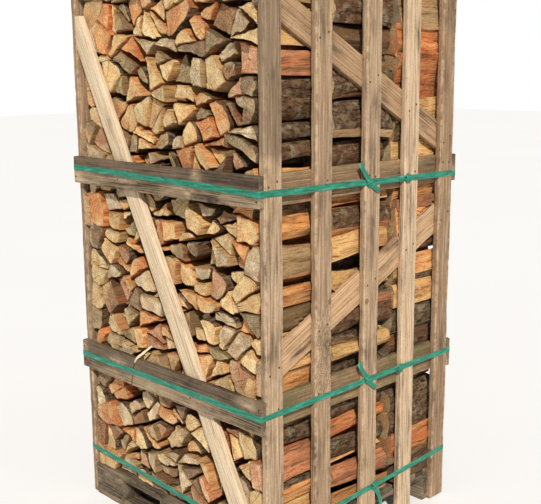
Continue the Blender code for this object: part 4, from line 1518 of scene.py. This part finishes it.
def buildSplinter(material):
    parts, band, barky = [], [], []
    for strip in ("wood", "bark", "lowerBark"):
        points, width, dark = splinterShape[strip]
        points = np.array(points)
        run = np.concatenate(([0.0], np.cumsum(np.linalg.norm(np.diff(points, axis=0), axis=1))))
        share = np.linspace(0, 1, 15)
        path = np.stack([np.interp(share * run[-1], run, points[:, k]) for k in range(3)], axis=-1)
        along = np.gradient(path, axis=0)
        along /= np.linalg.norm(along, axis=1, keepdims=True)
        outwards = np.array((0.0, -1.0, 0.0)) + along * along[:, 1:2]
        outwards /= np.linalg.norm(outwards, axis=1, keepdims=True)
        widths = width * (0.25 + 0.75 * np.sin(pi * (0.12 + 0.76 * share))) * (1 + 0.12 * np.sin(share * 23))
        data = (path, outwards, np.cross(along, outwards), widths)
        places, more, runs = bandMesh(data, splinterShape["thickness"])
        parts.append((places, more))
        band.append(runs)
        barky.append(np.full(len(places), dark))
    fields = {"band": np.concatenate(band), "barky": np.concatenate(barky)}
    piece = addMesh("splinter", *joinParts(parts), [material], fields=fields, sharpAngle=50)
    return finishPiece(piece, None)


# Floor, light and camera

view = {"place": (2.42186, -2.31324, 1.64857), "turn": 45.947, "drop": 11.354, "roll": -0.4715,
        "focalPixels": 904.79, "imageWidth": 541, "sensor": 36.0}
light = {"from": (0.66, -0.52, 0.62), "power": 3.9, "softness": 3.0, "tint": (1.0, 0.97, 0.92),
         "sky": 0.27, "backdrop": 1.0}


def addCamera():
    turn, drop, roll = (radians(view[key]) for key in ("turn", "drop", "roll"))
    forward = Vector((-sin(turn) * cos(drop), cos(turn) * cos(drop), -sin(drop)))
    right = Vector((cos(turn), sin(turn), 0.0))
    up = right.cross(forward)
    right, up = cos(roll) * right + sin(roll) * up, cos(roll) * up - sin(roll) * right
    camera = bpy.data.objects.new("photoCamera", bpy.data.cameras.new("photoCamera"))
    camera.data.sensor_width = view["sensor"]
    camera.data.lens = view["focalPixels"] / view["imageWidth"] * view["sensor"]
    facing = Matrix((right, up, -forward)).transposed().to_4x4()
    camera.matrix_world = Matrix.Translation(view["place"]) @ facing
    bpy.context.scene.collection.objects.link(camera)
    bpy.context.scene.camera = camera


def addLight():
    scene = bpy.context.scene
    lamp = bpy.data.lights.new("key", "SUN")
    lamp.energy, lamp.color, lamp.angle = light["power"], light["tint"], radians(light["softness"])
    key = bpy.data.objects.new("key", lamp)
    key.location = Vector(light["from"]) * 5
    key.rotation_euler = (-Vector(light["from"])).to_track_quat("-Z", "Y").to_euler()
    scene.collection.objects.link(key)
    scene.world = bpy.data.worlds.new("studio")
    scene.world.use_nodes = True
    tree = scene.world.node_tree
    background = tree.nodes["Background"]
    background.inputs["Color"].default_value = (1, 1, 1, 1)
    seen = put(tree, "LightPath").outputs["Is Camera Ray"]
    limits = {"Value": seen, "To Min": light["sky"], "To Max": light["backdrop"]}
    tree.links.new(put(tree, "MapRange", limits).outputs[0], background.inputs["Strength"])
    scene.view_settings.view_transform = "Standard"


def addFloor():
    corners = [(-30, -30, 0), (30, -30, 0), (30, 30, 0), (-30, 30, 0)]
    piece = addMesh("floor", corners, [(0, 1, 2, 3)], [makeFloor()])
    piece.location.z = -0.0005


addCamera()
addLight()
addFloor()
print("camera, light and floor placed")
buildBoards()
print("boards worn and grained")
firewood = [makeLogEnd(), makeLogSplit(), makeBark()]
for rowName in pile["rows"]:
    buildLogRow(rowName, firewood)
strapPlastic = makeStrapPlastic()
for levelName in strapShape["heights"]:
    buildStrap(levelName, strapPlastic)
buildNails(makeNailSteel())
buildSplinter(makeSplinterWood())
print("straps, nails and splinter added")
